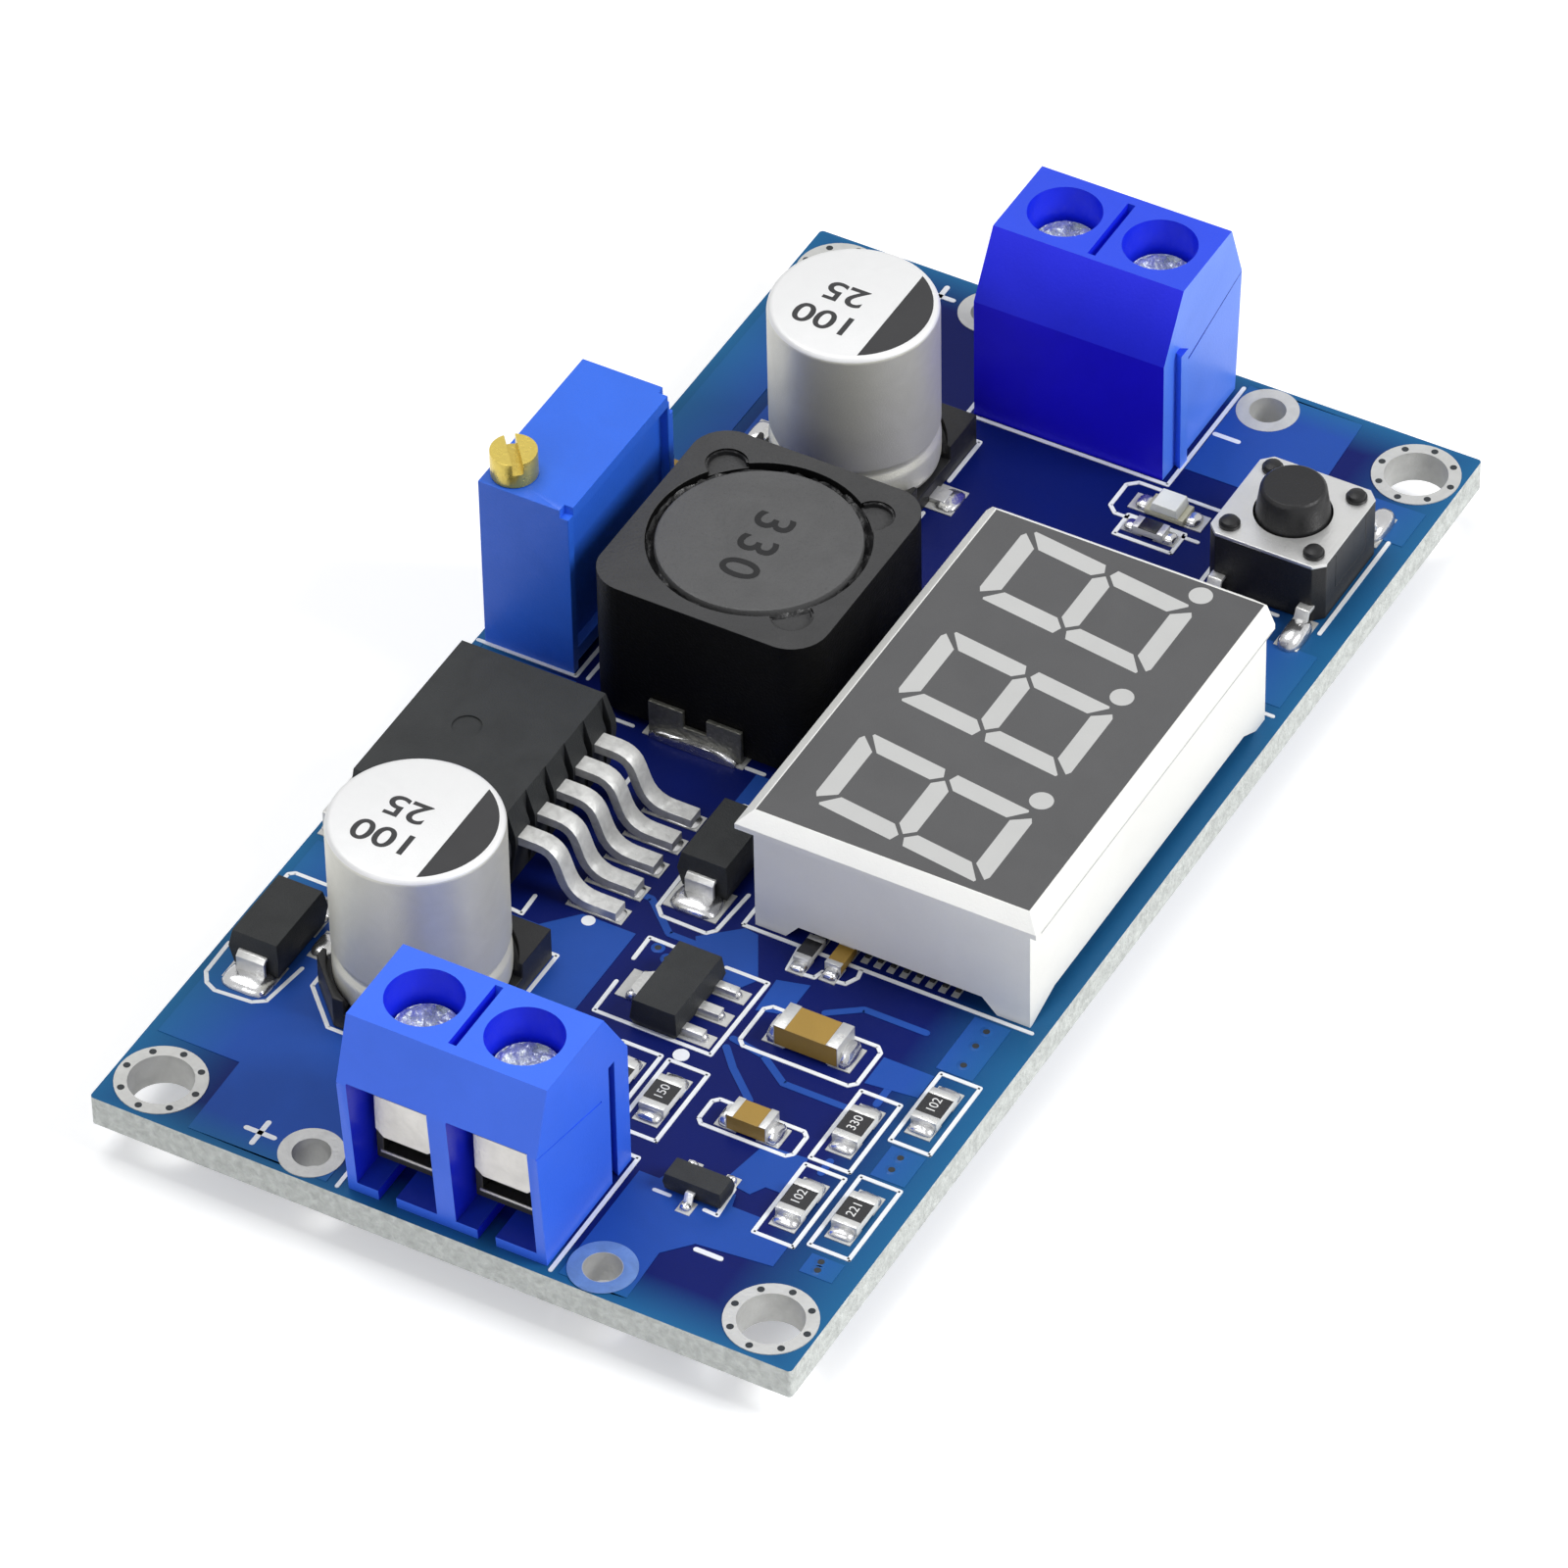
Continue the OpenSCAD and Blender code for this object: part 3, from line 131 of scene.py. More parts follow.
# ---- finishes: base colour (or a colour property and a factor), roughness, and what else
# differs from new_finish's own values
TIN = dict(grain=(5.0, 0.02), patches=1.2)
LACQUER = dict(grain=(14.0, 0.006), pits=0.1, patches=0.25, spread=0.14)
MOULDED = dict(shade=0.86, grain=(9.0, 0.008), pits=0.1, patches=0.22)
FERRITE = dict(grain=(7.0, 0.03), pits=0.5, spread=0.25, specular=0.3)
FINISHES = {
    "tinned lead": ((0.78, 0.78, 0.76), 0.34, dict(TIN, metallic=0.6, shade=0.72, spread=0.25)),
    "tinned land": ((0.60, 0.60, 0.58), 0.45, dict(TIN, metallic=0.3, shade=0.82, spread=0.2)),
    "aged tin": ((0.20, 0.20, 0.175), 0.4, dict(
        metallic=0.6, shade=0.5, grain=(4.0, 0.08), pits=0.6, patches=1.8, spread=0.3)),
    "matte tinned lead": ((0.74, 0.74, 0.72), 0.5, dict(
        metallic=0.35, shade=0.62, grain=(4.0, 0.03), pits=0.5, patches=1.6, spread=0.2)),
    "solder": ((0.72, 0.72, 0.73), 0.22, dict(metallic=0.95, grain=(2.5, 0.02), patches=1.0, spread=0.15)),
    "zinc plated steel": ((0.80, 0.86, 0.90), 0.25, dict(
        metallic=0.4, shade=0.5, grain=(3.4, 0.16), pits=0.6, patches=2.6, spread=0.25)),
    "nickel plated brass": ((0.68, 0.66, 0.62), 0.36, dict(
        metallic=0.8, grain=(6.0, 0.015), patches=0.9, spread=0.2, streaks=(9.0, 0.8))),
    # painted shade: nickel darkened where it lies in shadow, below the cages' bars and on the controller's
    # leads
    "nickel in the dark": ((0.035, 0.034, 0.032), 0.5, dict(metallic=0.5, grain=(6.0, 0.01))),
    "black moulding": ((0.016, 0.016, 0.017), 0.42, dict(
        shade=0.7, grain=(9.0, 0.012), patches=0.6, specular=0.3)),
    "package resin": (("package", 1), 0.55, dict(
        shade=0.75, grain=(11.0, 0.02), pits=0.4, patches=0.5, spread=0.2, specular=0.3)),
    "solder mask": (("mask", 1), 0.36, dict(LACQUER, specular=0.12, rim=(5.0, 0.9))),
    "mask over copper": (("pour", 1), 0.34, dict(LACQUER, shade=0.82, specular=0.14, rim=(4.0, 0.9))),
    "mask over a ring": ((0.17, 0.31, 0.66), 0.3, dict(shade=0.6, grain=(6.0, 0.01), patches=1.2)),
    "silkscreen ink": (("silk", 1), 0.6, dict(shade=0.88, grain=(12.0, 0.004), patches=1.5)),
    "cut laminate edge": ((0.80, 0.83, 0.80), 0.7, dict(
        shade=0.6, grain=(7.0, 0.10), pits=0.9, patches=2.6, spread=0.2)),
    # painted shade: dark discs stand for the vias' open holes
    "via holes": ((0.02, 0.025, 0.03), 0.6, dict(grain=(9.0, 0.01))),
    "terminal plastic": (("terminal", 1), 0.38, MOULDED),
    # painted shade: the output terminal's housing takes a darker copy of the blue
    "deep terminal plastic": (("far_terminal", 1), 0.38, MOULDED),
    "shaded terminal plastic": (("far_terminal", 0.6), 0.4, dict(MOULDED, shade=0.8, patches=0.3)),
    # painted shade: a deeper copy of the blue for the bores' walls
    "bore plastic": ((0.014, 0.035, 0.95), 0.34, dict(MOULDED, patches=0.3)),
    # painted light on the output terminal's inner slope, painted shade on its inner wall below the fold
    "inner slope plastic": ((0.026, 0.034, 0.97), 0.4, dict(MOULDED, specular=0.2)),
    "inner wall plastic": ((0.014, 0.008, 0.80), 0.4, dict(MOULDED, shade=0.8, specular=0.15)),
    # painted light: a brighter copy of the blue for the output terminal's end wall
    "bright end plastic": ((0.10, 0.26, 1.0), 0.36, MOULDED),
    "trimmer plastic": (("trimmer", 1), 0.4, dict(shade=0.85, grain=(9.0, 0.012), patches=0.3, spread=0.15)),
    "turned brass": ((0.80, 0.62, 0.14), 0.3, dict(
        metallic=0.75, shade=0.75, grain=(6.0, 0.02), patches=1.2, spread=0.2)),
    "cast resin": ((0.50, 0.46, 0.34), 0.6, dict(grain=(4.0, 0.04))),
    "ground ferrite": (("ferrite", 1), 0.5, dict(FERRITE, shade=0.75)),
    # the shield's sides: as-fired ferrite, darker than the ground top, and darkened much further as painted
    # shade
    "fired ferrite": (("ferrite", 0.07), 0.5, dict(FERRITE, shade=0.7, spread=0.2, specular=0.1)),
    "ferrite core": (("disc", 1), 0.5, dict(FERRITE, grain=(7.0, 0.025))),
    "dark figures": ((0.022, 0.022, 0.023), 0.6, dict(grain=(9.0, 0.01), specular=0.2)),
    "black glue": ((0.012, 0.012, 0.013), 0.35, dict(grain=(3.0, 0.08), pits=0.5)),
    "enamelled wire": ((0.50, 0.17, 0.06), 0.3, dict(metallic=0.7, coat=0.4, streaks=(1.0, 1.0))),
    "drawn aluminium": ((0.70, 0.69, 0.62), 0.42, dict(
        metallic=0.45, shade=0.86, grain=(14.0, 0.012), patches=0.5, spread=0.16)),
    "pressed can top": ((0.82, 0.82, 0.82), 0.45, dict(
        metallic=0.25, shade=0.93, grain=(10.0, 0.006), patches=0.5, spread=0.16)),
    "black print": ((0.03, 0.03, 0.032), 0.5, dict(grain=(10.0, 0.004))),
    "fired ceramic": ((0.37, 0.225, 0.040), 0.45, dict(shade=0.85)),
    "alumina": ((0.78, 0.78, 0.74), 0.5, dict(shade=0.92)),
    "resistor glaze": ((0.018, 0.018, 0.02), 0.28, dict(grain=(6.0, 0.01), coat=0.3)),
    "indicator base": ((0.62, 0.60, 0.46), 0.5, {}),
    "indicator lens": ((0.86, 0.88, 0.84), 0.15, dict(shade=0.92, grain=(3.0, 0.01), coat=0.5)),
    "white figures": ((0.85, 0.85, 0.83), 0.6, dict(grain=(9.0, 0.004))),
    "pressed steel": ((0.74, 0.74, 0.73), 0.34, dict(
        metallic=0.75, shade=0.85, grain=(8.0, 0.008), streaks=(7.0, 0.4))),
    "display shell": (("shell", 1), 0.42, dict(shade=0.92, grain=(9.0, 0.01), patches=0.2, spread=0.15)),
    "display face": (("face", 1), 0.5, dict(shade=0.85, grain=(12.0, 0.01), patches=0.3)),
    "light pieces": (("segment", 1), 0.35, dict(shade=0.92, grain=(10.0, 0.006))),
    "carrier laminate": ((0.45, 0.42, 0.28), 0.6, dict(grain=(8.0, 0.02))),
    # a painted shadow line under the display's lip
    "parting line": ((0.52, 0.52, 0.51), 0.6, dict(shade=0.85, grain=(9.0, 0.01))),
}


# ---- shader nodes
def put(tree, socket, value):
    """Links an input to another node's output, or sets it to a plain value."""
    if isinstance(value, bpy.types.NodeSocket):
        tree.links.new(value, socket)
    else:
        socket.default_value = value


def add(tree, kind, inputs=None, **settings):
    """A shader node with its settings, then its inputs."""
    node = tree.nodes.new("ShaderNode" + kind)
    for name, value in settings.items():
        setattr(node, name, value)
    for socket, value in (inputs or {}).items():
        put(tree, node.inputs[socket], value)
    return node


def maths(tree, operation, first, second, clamp=False):
    return add(tree, "Math", {0: first, 1: second}, operation=operation, use_clamp=clamp).outputs[0]


def mix(tree, share, first, second):
    return add(tree, "Mix", {"Factor": share, "A": first, "B": second}, data_type="RGBA").outputs["Result"]


def new_group(name, inputs, outputs):
    """A group with its given values, its results, and the place in millimetres."""
    group = bpy.data.node_groups.new(name, "ShaderNodeTree")
    for label, default in inputs.items():
        socket = group.interface.new_socket(label, in_out="INPUT", socket_type="NodeSocketFloat")
        socket.default_value = default
    for label in outputs:
        group.interface.new_socket(label, in_out="OUTPUT", socket_type="NodeSocketFloat")
    place = add(group, "TexCoord").outputs["Object"]
    scaled = add(group, "VectorMath", {0: place, "Scale": 1 / MM}, operation="SCALE")
    given = group.nodes.new("NodeGroupInput").outputs
    return group, given, group.nodes.new("NodeGroupOutput").inputs, scaled.outputs[0]


def fine_grain(name):
    """Fine surface grain: a height for bumps and a mask for small changes of tone."""
    group, given, result, place = new_group(name, {"Scale": 8.0, "Pits": 0.2}, ["Height", "Mask"])
    fine = add(group, "TexNoise", {"Vector": place, "Scale": given["Scale"], "Detail": 4}).outputs[0]
    pits = add(group, "TexVoronoi", {"Vector": place, "Scale": given["Scale"]}).outputs["Distance"]
    dark = maths(group, "MULTIPLY", maths(group, "LESS_THAN", pits, 0.25), given["Pits"])
    put(group, result["Height"], maths(group, "SUBTRACT", fine, dark))
    put(group, result["Mask"], fine)
    return group


def soft_patches(name):
    """Broad soft patches, as handling and dust leave them."""
    group, given, result, place = new_group(name, {"Scale": 0.5, "Contrast": 2.0}, ["Mask"])
    patch = add(group, "TexNoise", {"Vector": place, "Scale": given["Scale"], "Detail": 3, "Distortion": 0.6})
    spread = maths(group, "MULTIPLY", maths(group, "SUBTRACT", patch.outputs[0], 0.5), given["Contrast"])
    put(group, result["Mask"], maths(group, "ADD", spread, 0.5, clamp=True))
    return group


def drawn_streaks(name):
    """Streaks along X, as on rolled or drawn metal."""
    group, given, result, place = new_group(name, {"Across": 12.0, "Along": 0.6}, ["Height"])
    ways = add(group, "CombineXYZ", {0: given["Along"], 1: given["Across"], 2: given["Across"]})
    stretch = add(group, "VectorMath", {0: place, 1: ways.outputs[0]}, operation="MULTIPLY")
    streak = add(group, "TexNoise", {"Vector": stretch.outputs[0], "Scale": 1, "Detail": 3})
    put(group, result["Height"], streak.outputs[0])
    return group


def edge_nearness(name):
    """How near the board's outline a point is, 0 inside and 1 at the edge; the band is narrower along X."""
    group, given, result, place = new_group(name, {"Reach": 6.0}, ["Mask"])
    split = add(group, "SeparateXYZ", {0: place})
    sides = []
    for axis, half, short in ((0, BOARD_HIGH.x, 2.2), (1, BOARD_HIGH.y, 1.0)):
        inside = maths(group, "SUBTRACT", half, maths(group, "ABSOLUTE", split.outputs[axis], 0))
        sides.append(maths(group, "DIVIDE", maths(group, "MULTIPLY", inside, short), given["Reach"]))
    put(group, result["Mask"], maths(group, "SUBTRACT", 1, maths(group, "MINIMUM", *sides), clamp=True))
    return group


GROUPS = {
    "fine grain": fine_grain, "soft patches": soft_patches,
    "drawn streaks": drawn_streaks, "edge nearness": edge_nearness,
}


def place_group(tree, name, **inputs):
    """The outputs of a node of one of the GROUPS, made at its first use."""
    group = bpy.data.node_groups.get(name) or GROUPS[name](name)
    return add(tree, "Group", inputs, node_tree=group).outputs


PATCH_CONTRAST = 2.2
GRAIN_SHARE = 0.4  # what the grain adds to the patches
TONE_SCALE = 0.7  # how far grain and patches together reach towards the darker shade
COAT_ROUGH = 0.15


def new_finish(name, base, rough, metallic=0.0, shade=0.8, grain=(8.0, 0.01), pits=0.2,
               patches=0.4, spread=0.12, coat=0.0, streaks=None, specular=0.4, rim=None):
    """A material: base colour, its darker shade in soft patches, and a fine grain."""
    made = bpy.data.materials.new(name)
    made.use_nodes = True
    tree = made.node_tree
    patch = place_group(tree, "soft patches", Scale=patches, Contrast=PATCH_CONTRAST)["Mask"]
    fine = place_group(tree, "fine grain", Scale=grain[0], Pits=pits)
    both = maths(tree, "ADD", maths(tree, "MULTIPLY", fine["Mask"], GRAIN_SHARE), patch)
    share = maths(tree, "MULTIPLY", both, TONE_SCALE, clamp=True)
    tone = mix(tree, share, (*base, 1), (*[c * shade for c in base], 1))
    if rim:
        near = place_group(tree, "edge nearness", Reach=rim[0])["Mask"]
        tone = mix(tree, maths(tree, "MULTIPLY", near, rim[1]), tone, (*colours().rim, 1))
    swing = maths(tree, "MULTIPLY", share, spread)
    height = fine["Height"]
    if streaks:
        streak = place_group(tree, "drawn streaks", Across=streaks[0], Along=streaks[1])
        height = maths(tree, "ADD", height, streak["Height"])
    bump = add(tree, "Bump", {"Strength": 1, "Distance": grain[1] * MM, "Height": height})
    shader = tree.nodes["Principled BSDF"].inputs
    put(tree, shader["Base Color"], tone)
    put(tree, shader["Roughness"], maths(tree, "ADD", swing, max(rough - spread / 2, 0.02)))
    put(tree, shader["Normal"], bump.outputs["Normal"])
    for socket, value in (("Metallic", metallic), ("Specular IOR Level", specular),
                          ("Coat Weight", coat), ("Coat Roughness", COAT_ROUGH)):
        shader[socket].default_value = value
    return made


def finish(name):
    """The material of that name from FINISHES, made at its first use."""
    base, rough, changes = FINISHES[name]
    if isinstance(base[0], str):
        base = [c * base[1] for c in getattr(colours(), base[0])]
    return bpy.data.materials.get(name) or new_finish(name, base, rough, **changes)


# ---- mesh helpers
def new_object(name, data):
    """An object of the scene, at the origin."""
    thing = bpy.data.objects.new(name, data)
    bpy.context.scene.collection.objects.link(thing)
    return thing


def cad_copy(node):
    """A merged copy of a CAD node, in millimetres, with flat areas made whole."""
    bm = bmesh.new()
    bm.from_mesh(NODES[node].data)
    bmesh.ops.scale(bm, vec=(1 / MM,) * 3, verts=bm.verts)
    bmesh.ops.remove_doubles(bm, verts=bm.verts, dist=MERGE)
    bmesh.ops.dissolve_limit(bm, angle_limit=radians(0.8), verts=bm.verts, edges=bm.edges)
    return bm


def fold(edge):
    """The angle between an edge's two faces, and 0 where it hasn't two."""
    return edge.calc_face_angle(0) if len(edge.link_faces) == 2 else 0


def smaller_side(edge):
    """The area of the smaller face beside an edge."""
    return min(face.calc_area() for face in edge.link_faces)


def bevel(bm, edges, width, segments):
    bmesh.ops.bevel(bm, geom=edges, offset=width, offset_type="OFFSET", segments=segments,
                    profile=0.5, affect="EDGES", clamp_overlap=True, material=-1)


def soften(bm, width, segments=2, angle=32, small=0.0, keep=None):
    """Rounds the sharp edges that lie between faces larger than small."""
    bevel(bm, [edge for edge in bm.edges if fold(edge) >= radians(angle)
               and smaller_side(edge) >= small and edge.calc_length() >= width * 1.5
               and (keep is None or keep(edge))], width, segments)


def piece(name, bm, look, slot, body="board", replaces=(), smooth=38, turn=False, crease=None):
    """Makes a finished piece from a bmesh in millimetres.

    Folds between faces larger than crease stay sharp; turn closes a turned shape and faces it outwards.
    """
    folds = [e for e in bm.edges if crease and fold(e) > radians(3) and smaller_side(e) > crease]
    if turn:
        bmesh.ops.remove_doubles(bm, verts=bm.verts, dist=MERGE)
        bmesh.ops.recalc_face_normals(bm, faces=bm.faces)
    bmesh.ops.scale(bm, vec=(MM,) * 3, verts=bm.verts)
    for face in bm.faces:
        face.smooth = True
    for edge in bm.edges:
        edge.smooth = len(edge.link_faces) == 2 and fold(edge) < radians(smooth)
    for edge in folds:
        edge.smooth = False
    mesh = bpy.data.meshes.new(name)
    bm.to_mesh(mesh)
    bm.free()
    thing = new_object(name, mesh)
    mesh.materials.append(finish(look))
    thing.modifiers.new("Weighted normals", "WEIGHTED_NORMAL").keep_sharp = True
    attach(thing, body)
    if replaces:
        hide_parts(*replaces)
    return thing


def finished(node, bm, look, slot, **options):
    """The piece that takes a CAD node's place."""
    return piece(node + "_finished", bm, look, slot, replaces=[node], **options)


def dress(node, look, slot, width, body="board", crease=None, **options):
    """A CAD node with its edges rounded and its finish on."""
    bm = cad_copy(node)
    soften(bm, width, **options)
    return finished(node, bm, look, slot, body=body, crease=crease)


def tin(node, width, **options):
    """A CAD node of tinned metal."""
    dress(node, "tinned lead", "tinned", width, **options)


def paint(thing, pick):
    """Gives a face the finish that pick names for its place, normal and area in millimetres."""
    looks = thing.data.materials
    for polygon in thing.data.polygons:
        look = pick(polygon.center / MM, polygon.normal, polygon.area / MM ** 2)
        if look and looks.find(look) < 0:
            looks.append(finish(look))
        polygon.material_index = looks.find(look) if look else 0


def block(bm, centre, size, turn=0.0):
    """A block turned round its upright axis."""
    matrix = Matrix.Translation(centre) @ Matrix.Rotation(turn, 4, "Z") @ Matrix.Diagonal((*size, 1))
    bmesh.ops.create_cube(bm, size=1, matrix=matrix)


def post(bm, x, y, radius, low, high, top=None, segments=24):
    """A round post, narrower or wider at the top where that is given."""
    bmesh.ops.create_cone(bm, cap_ends=True, segments=segments, radius1=radius, radius2=top or radius,
                          depth=high - low, matrix=Matrix.Translation((x, y, (low + high) / 2)))


def grow(bm, faces, by):
    """Raises flat faces into a solid and returns the moved points."""
    made = bmesh.ops.extrude_face_region(bm, geom=faces)["geom"]
    moved = [v for v in made if isinstance(v, bmesh.types.BMVert)]
    bmesh.ops.translate(bm, vec=by, verts=moved)
    return moved


def cut_off(bm, point, normal):
    """Takes away what lies past a plane, and returns the edges of the cut."""
    cut = bmesh.ops.bisect_plane(bm, geom=bm.verts[:] + bm.edges[:] + bm.faces[:],
                                 plane_co=point, plane_no=normal, clear_outer=True)["geom_cut"]
    return [e for e in cut if isinstance(e, bmesh.types.BMEdge)]


def turned(bm, x, y, profile, segments=72):
    """A lathe shape from (radius, height) pairs whose ends lie on the axis or meet."""
    verts = [bm.verts.new((r, 0, z)) for r, z in profile]
    edges = [bm.edges.new(pair) for pair in zip(verts, verts[1:])]
    bmesh.ops.spin(bm, geom=verts + edges, cent=(0, 0, 0), axis=(0, 0, 1), dvec=(0, 0, 0),
                   angle=tau, steps=segments, use_merge=True)
    new = [v for v in bm.verts if not v.tag]
    bmesh.ops.translate(bm, vec=(x, y, 0), verts=new)
    for v in new:
        v.tag = True
    return new


def pillow(bm, x, y, half_x, half_y, height, square=0.55, cols=14):
    """A closed low mound of solder with a rounded rectangular foot on the lands."""
    for v in bmesh.ops.create_uvsphere(bm, u_segments=cols, v_segments=7, radius=1)["verts"]:
        a, b, c = v.co
        a = copysign(abs(a) ** square, a)
        b = copysign(abs(b) ** square, b)
        v.co = (x + a * half_x, y + b * half_y, LAND - SINK + max(c, -0.02 / height) * height)


def strip_line(bm, points, width, low, high):
    """A flat printed line along points, with round ends and corners."""
    for a, b in zip(points, points[1:]):
        a, b = Vector(a), Vector(b)
        run = b - a
        block(bm, (*(a + b) / 2, (low + high) / 2), (run.length, width, high - low), atan2(run.y, run.x))
    for x, y in points:
        post(bm, x, y, width / 2, low - 0.002, high - 0.002, segments=10)


def slab(bm, outline, low, high, hole=None):
    """A flat plate from its outline, with a slit to a round hole (x, y, radius) where one is given."""
    outline = list(outline)
    if hole:
        x, y, radius = hole
        turning = sum(a[0] * b[1] - b[0] * a[1] for a, b in zip(outline, outline[1:] + outline[:1]))
        step = -tau / 32 * copysign(1, turning)
        begin = atan2(outline[0][1] - y, outline[0][0] - x)
        ring = [(x + radius * cos(begin + step * k), y + radius * sin(begin + step * k))
                for k in range(32)]
        outline += [outline[0], *ring, ring[0]]
    face = bm.faces.new([bm.verts.new((x, y, low)) for x, y in outline])
    face.normal_update()
    if face.normal.z > 0:
        face.normal_flip()
    grow(bm, [face], (0, 0, high - low))


def rectangle(x0, x1, y0, y1):
    return [(x0, y0), (x1, y0), (x1, y1), (x0, y1)]


def add_text(bm, text, size, matrix, depth, spacing=1.0, bold=0.0):
    """Raised plain figures, centred, laid flat and then placed by matrix."""
    curve = bpy.data.curves.new("figures", "FONT")
    curve.body, curve.size, curve.extrude = text, size, depth / 2
    curve.offset, curve.space_character = bold, spacing
    curve.align_x = curve.align_y = "CENTER"
    holder = new_object("figures", curve)
    bpy.context.view_layer.update()
    mesh = bpy.data.meshes.new_from_object(holder.evaluated_get(bpy.context.evaluated_depsgraph_get()))
    mesh.transform(matrix)
    bm.from_mesh(mesh)
    bpy.data.objects.remove(holder)
    bpy.data.curves.remove(curve)
    bpy.data.meshes.remove(mesh)


def bent_sheet(bm, path, thickness, width, matrix, radius, steps=5):
    """A bent lead: path in (distance, height) along its upper side, laid along +X, placed by matrix."""
    points = [Vector(p) for p in path]
    line = points[:1]
    for last, p, following in zip(points, points[1:], points[2:]):
        back, ahead = last - p, following - p
        reach = min(radius, back.length * 0.45, ahead.length * 0.45)
        a, b = p + back.normalized() * reach, p + ahead.normalized() * reach
        for t in [k / steps for k in range(steps + 1)]:
            line.append(a * (1 - t) ** 2 + p * 2 * t * (1 - t) + b * t ** 2)
    line += points[-1:]
    under = []
    for before, p, after in zip(line[:1] + line, line, line[1:] + line[-1:]):
        along = (after - before).normalized()
        under.append(p + Vector((along.y, -along.x)) * thickness)
    verts = [bm.verts.new((x, -width / 2, z)) for x, z in line + under[::-1]]
    moved = grow(bm, [bm.faces.new(verts)], (0, width, 0))
    bmesh.ops.transform(bm, matrix=matrix, verts=verts + moved)


def clusters(points, reach):
    """Groups points that lie within reach of a group's first point, seen from above."""
    groups = []
    for point in points:
        near = [group for group in groups if (group[0] - point).xy.length < reach]
        if near:
            near[0].append(point)
        else:
            groups.append([point])
    return groups


def span(points):
    """Lowest and highest corner of some points."""
    return [Vector([end(p[i] for p in points) for i in range(3)]) for end in (min, max)]


def islands(node):
    """The separate solids of a node, each as (low, high, points) in millimetres."""
    bm = cad_copy(node)
    left, found = set(bm.verts), []
    while left:
        group = [left.pop()]
        for vert in group:
            joined = left & {edge.other_vert(vert) for edge in vert.link_edges}
            left -= joined
            group += joined
        points = [vert.co.copy() for vert in group]
        found.append((*span(points), points))
    bm.free()
    return sorted(found, key=lambda item: tuple(round(c, 2) for c in item[0]))


def upright(normal):
    """Whether a face with this normal stands upright."""
    return abs(normal.z) < 0.3


def outward(run):
    """The axis that a step mostly follows, 0 or 1, and its direction."""
    axis = 0 if abs(run.x) > abs(run.y) else 1
    return axis, copysign(1, run[axis])


def at(x, y, z=0.0, degrees=0.0):
    """A place, turned round its upright axis."""
    return Matrix.Translation((x, y, z)) @ Matrix.Rotation(radians(degrees), 4, "Z")


# ---- board
SILK_CLOSED = [
    # outlines of the chip resistors
    *[rectangle(x - 2.32, x + 2.32, y - 0.98, y + 0.98) for x, y in
      [(-16.53, -15.55), (-19.1, -13.0), (-24.17, -13.02), (-23.7, -15.5), (-21.4, -4.67), (-21.35, -2.3)]],
    # ceramic capacitors, with cut corners
    [(-16.5, -5.8), (-14.35, -5.8), (-14.05, -6.1), (-14.05, -11.35), (-14.35, -11.65),
     (-16.5, -11.65), (-16.8, -11.35), (-16.8, -6.1)],
    [(-21.6, -6.6), (-20.4, -6.6), (-20.15, -6.85), (-20.15, -11.05), (-20.4, -11.3),
     (-21.6, -11.3), (-21.85, -11.05), (-21.85, -6.85)],
    rectangle(20.5, 21.95, -7.75, -4.8),
]
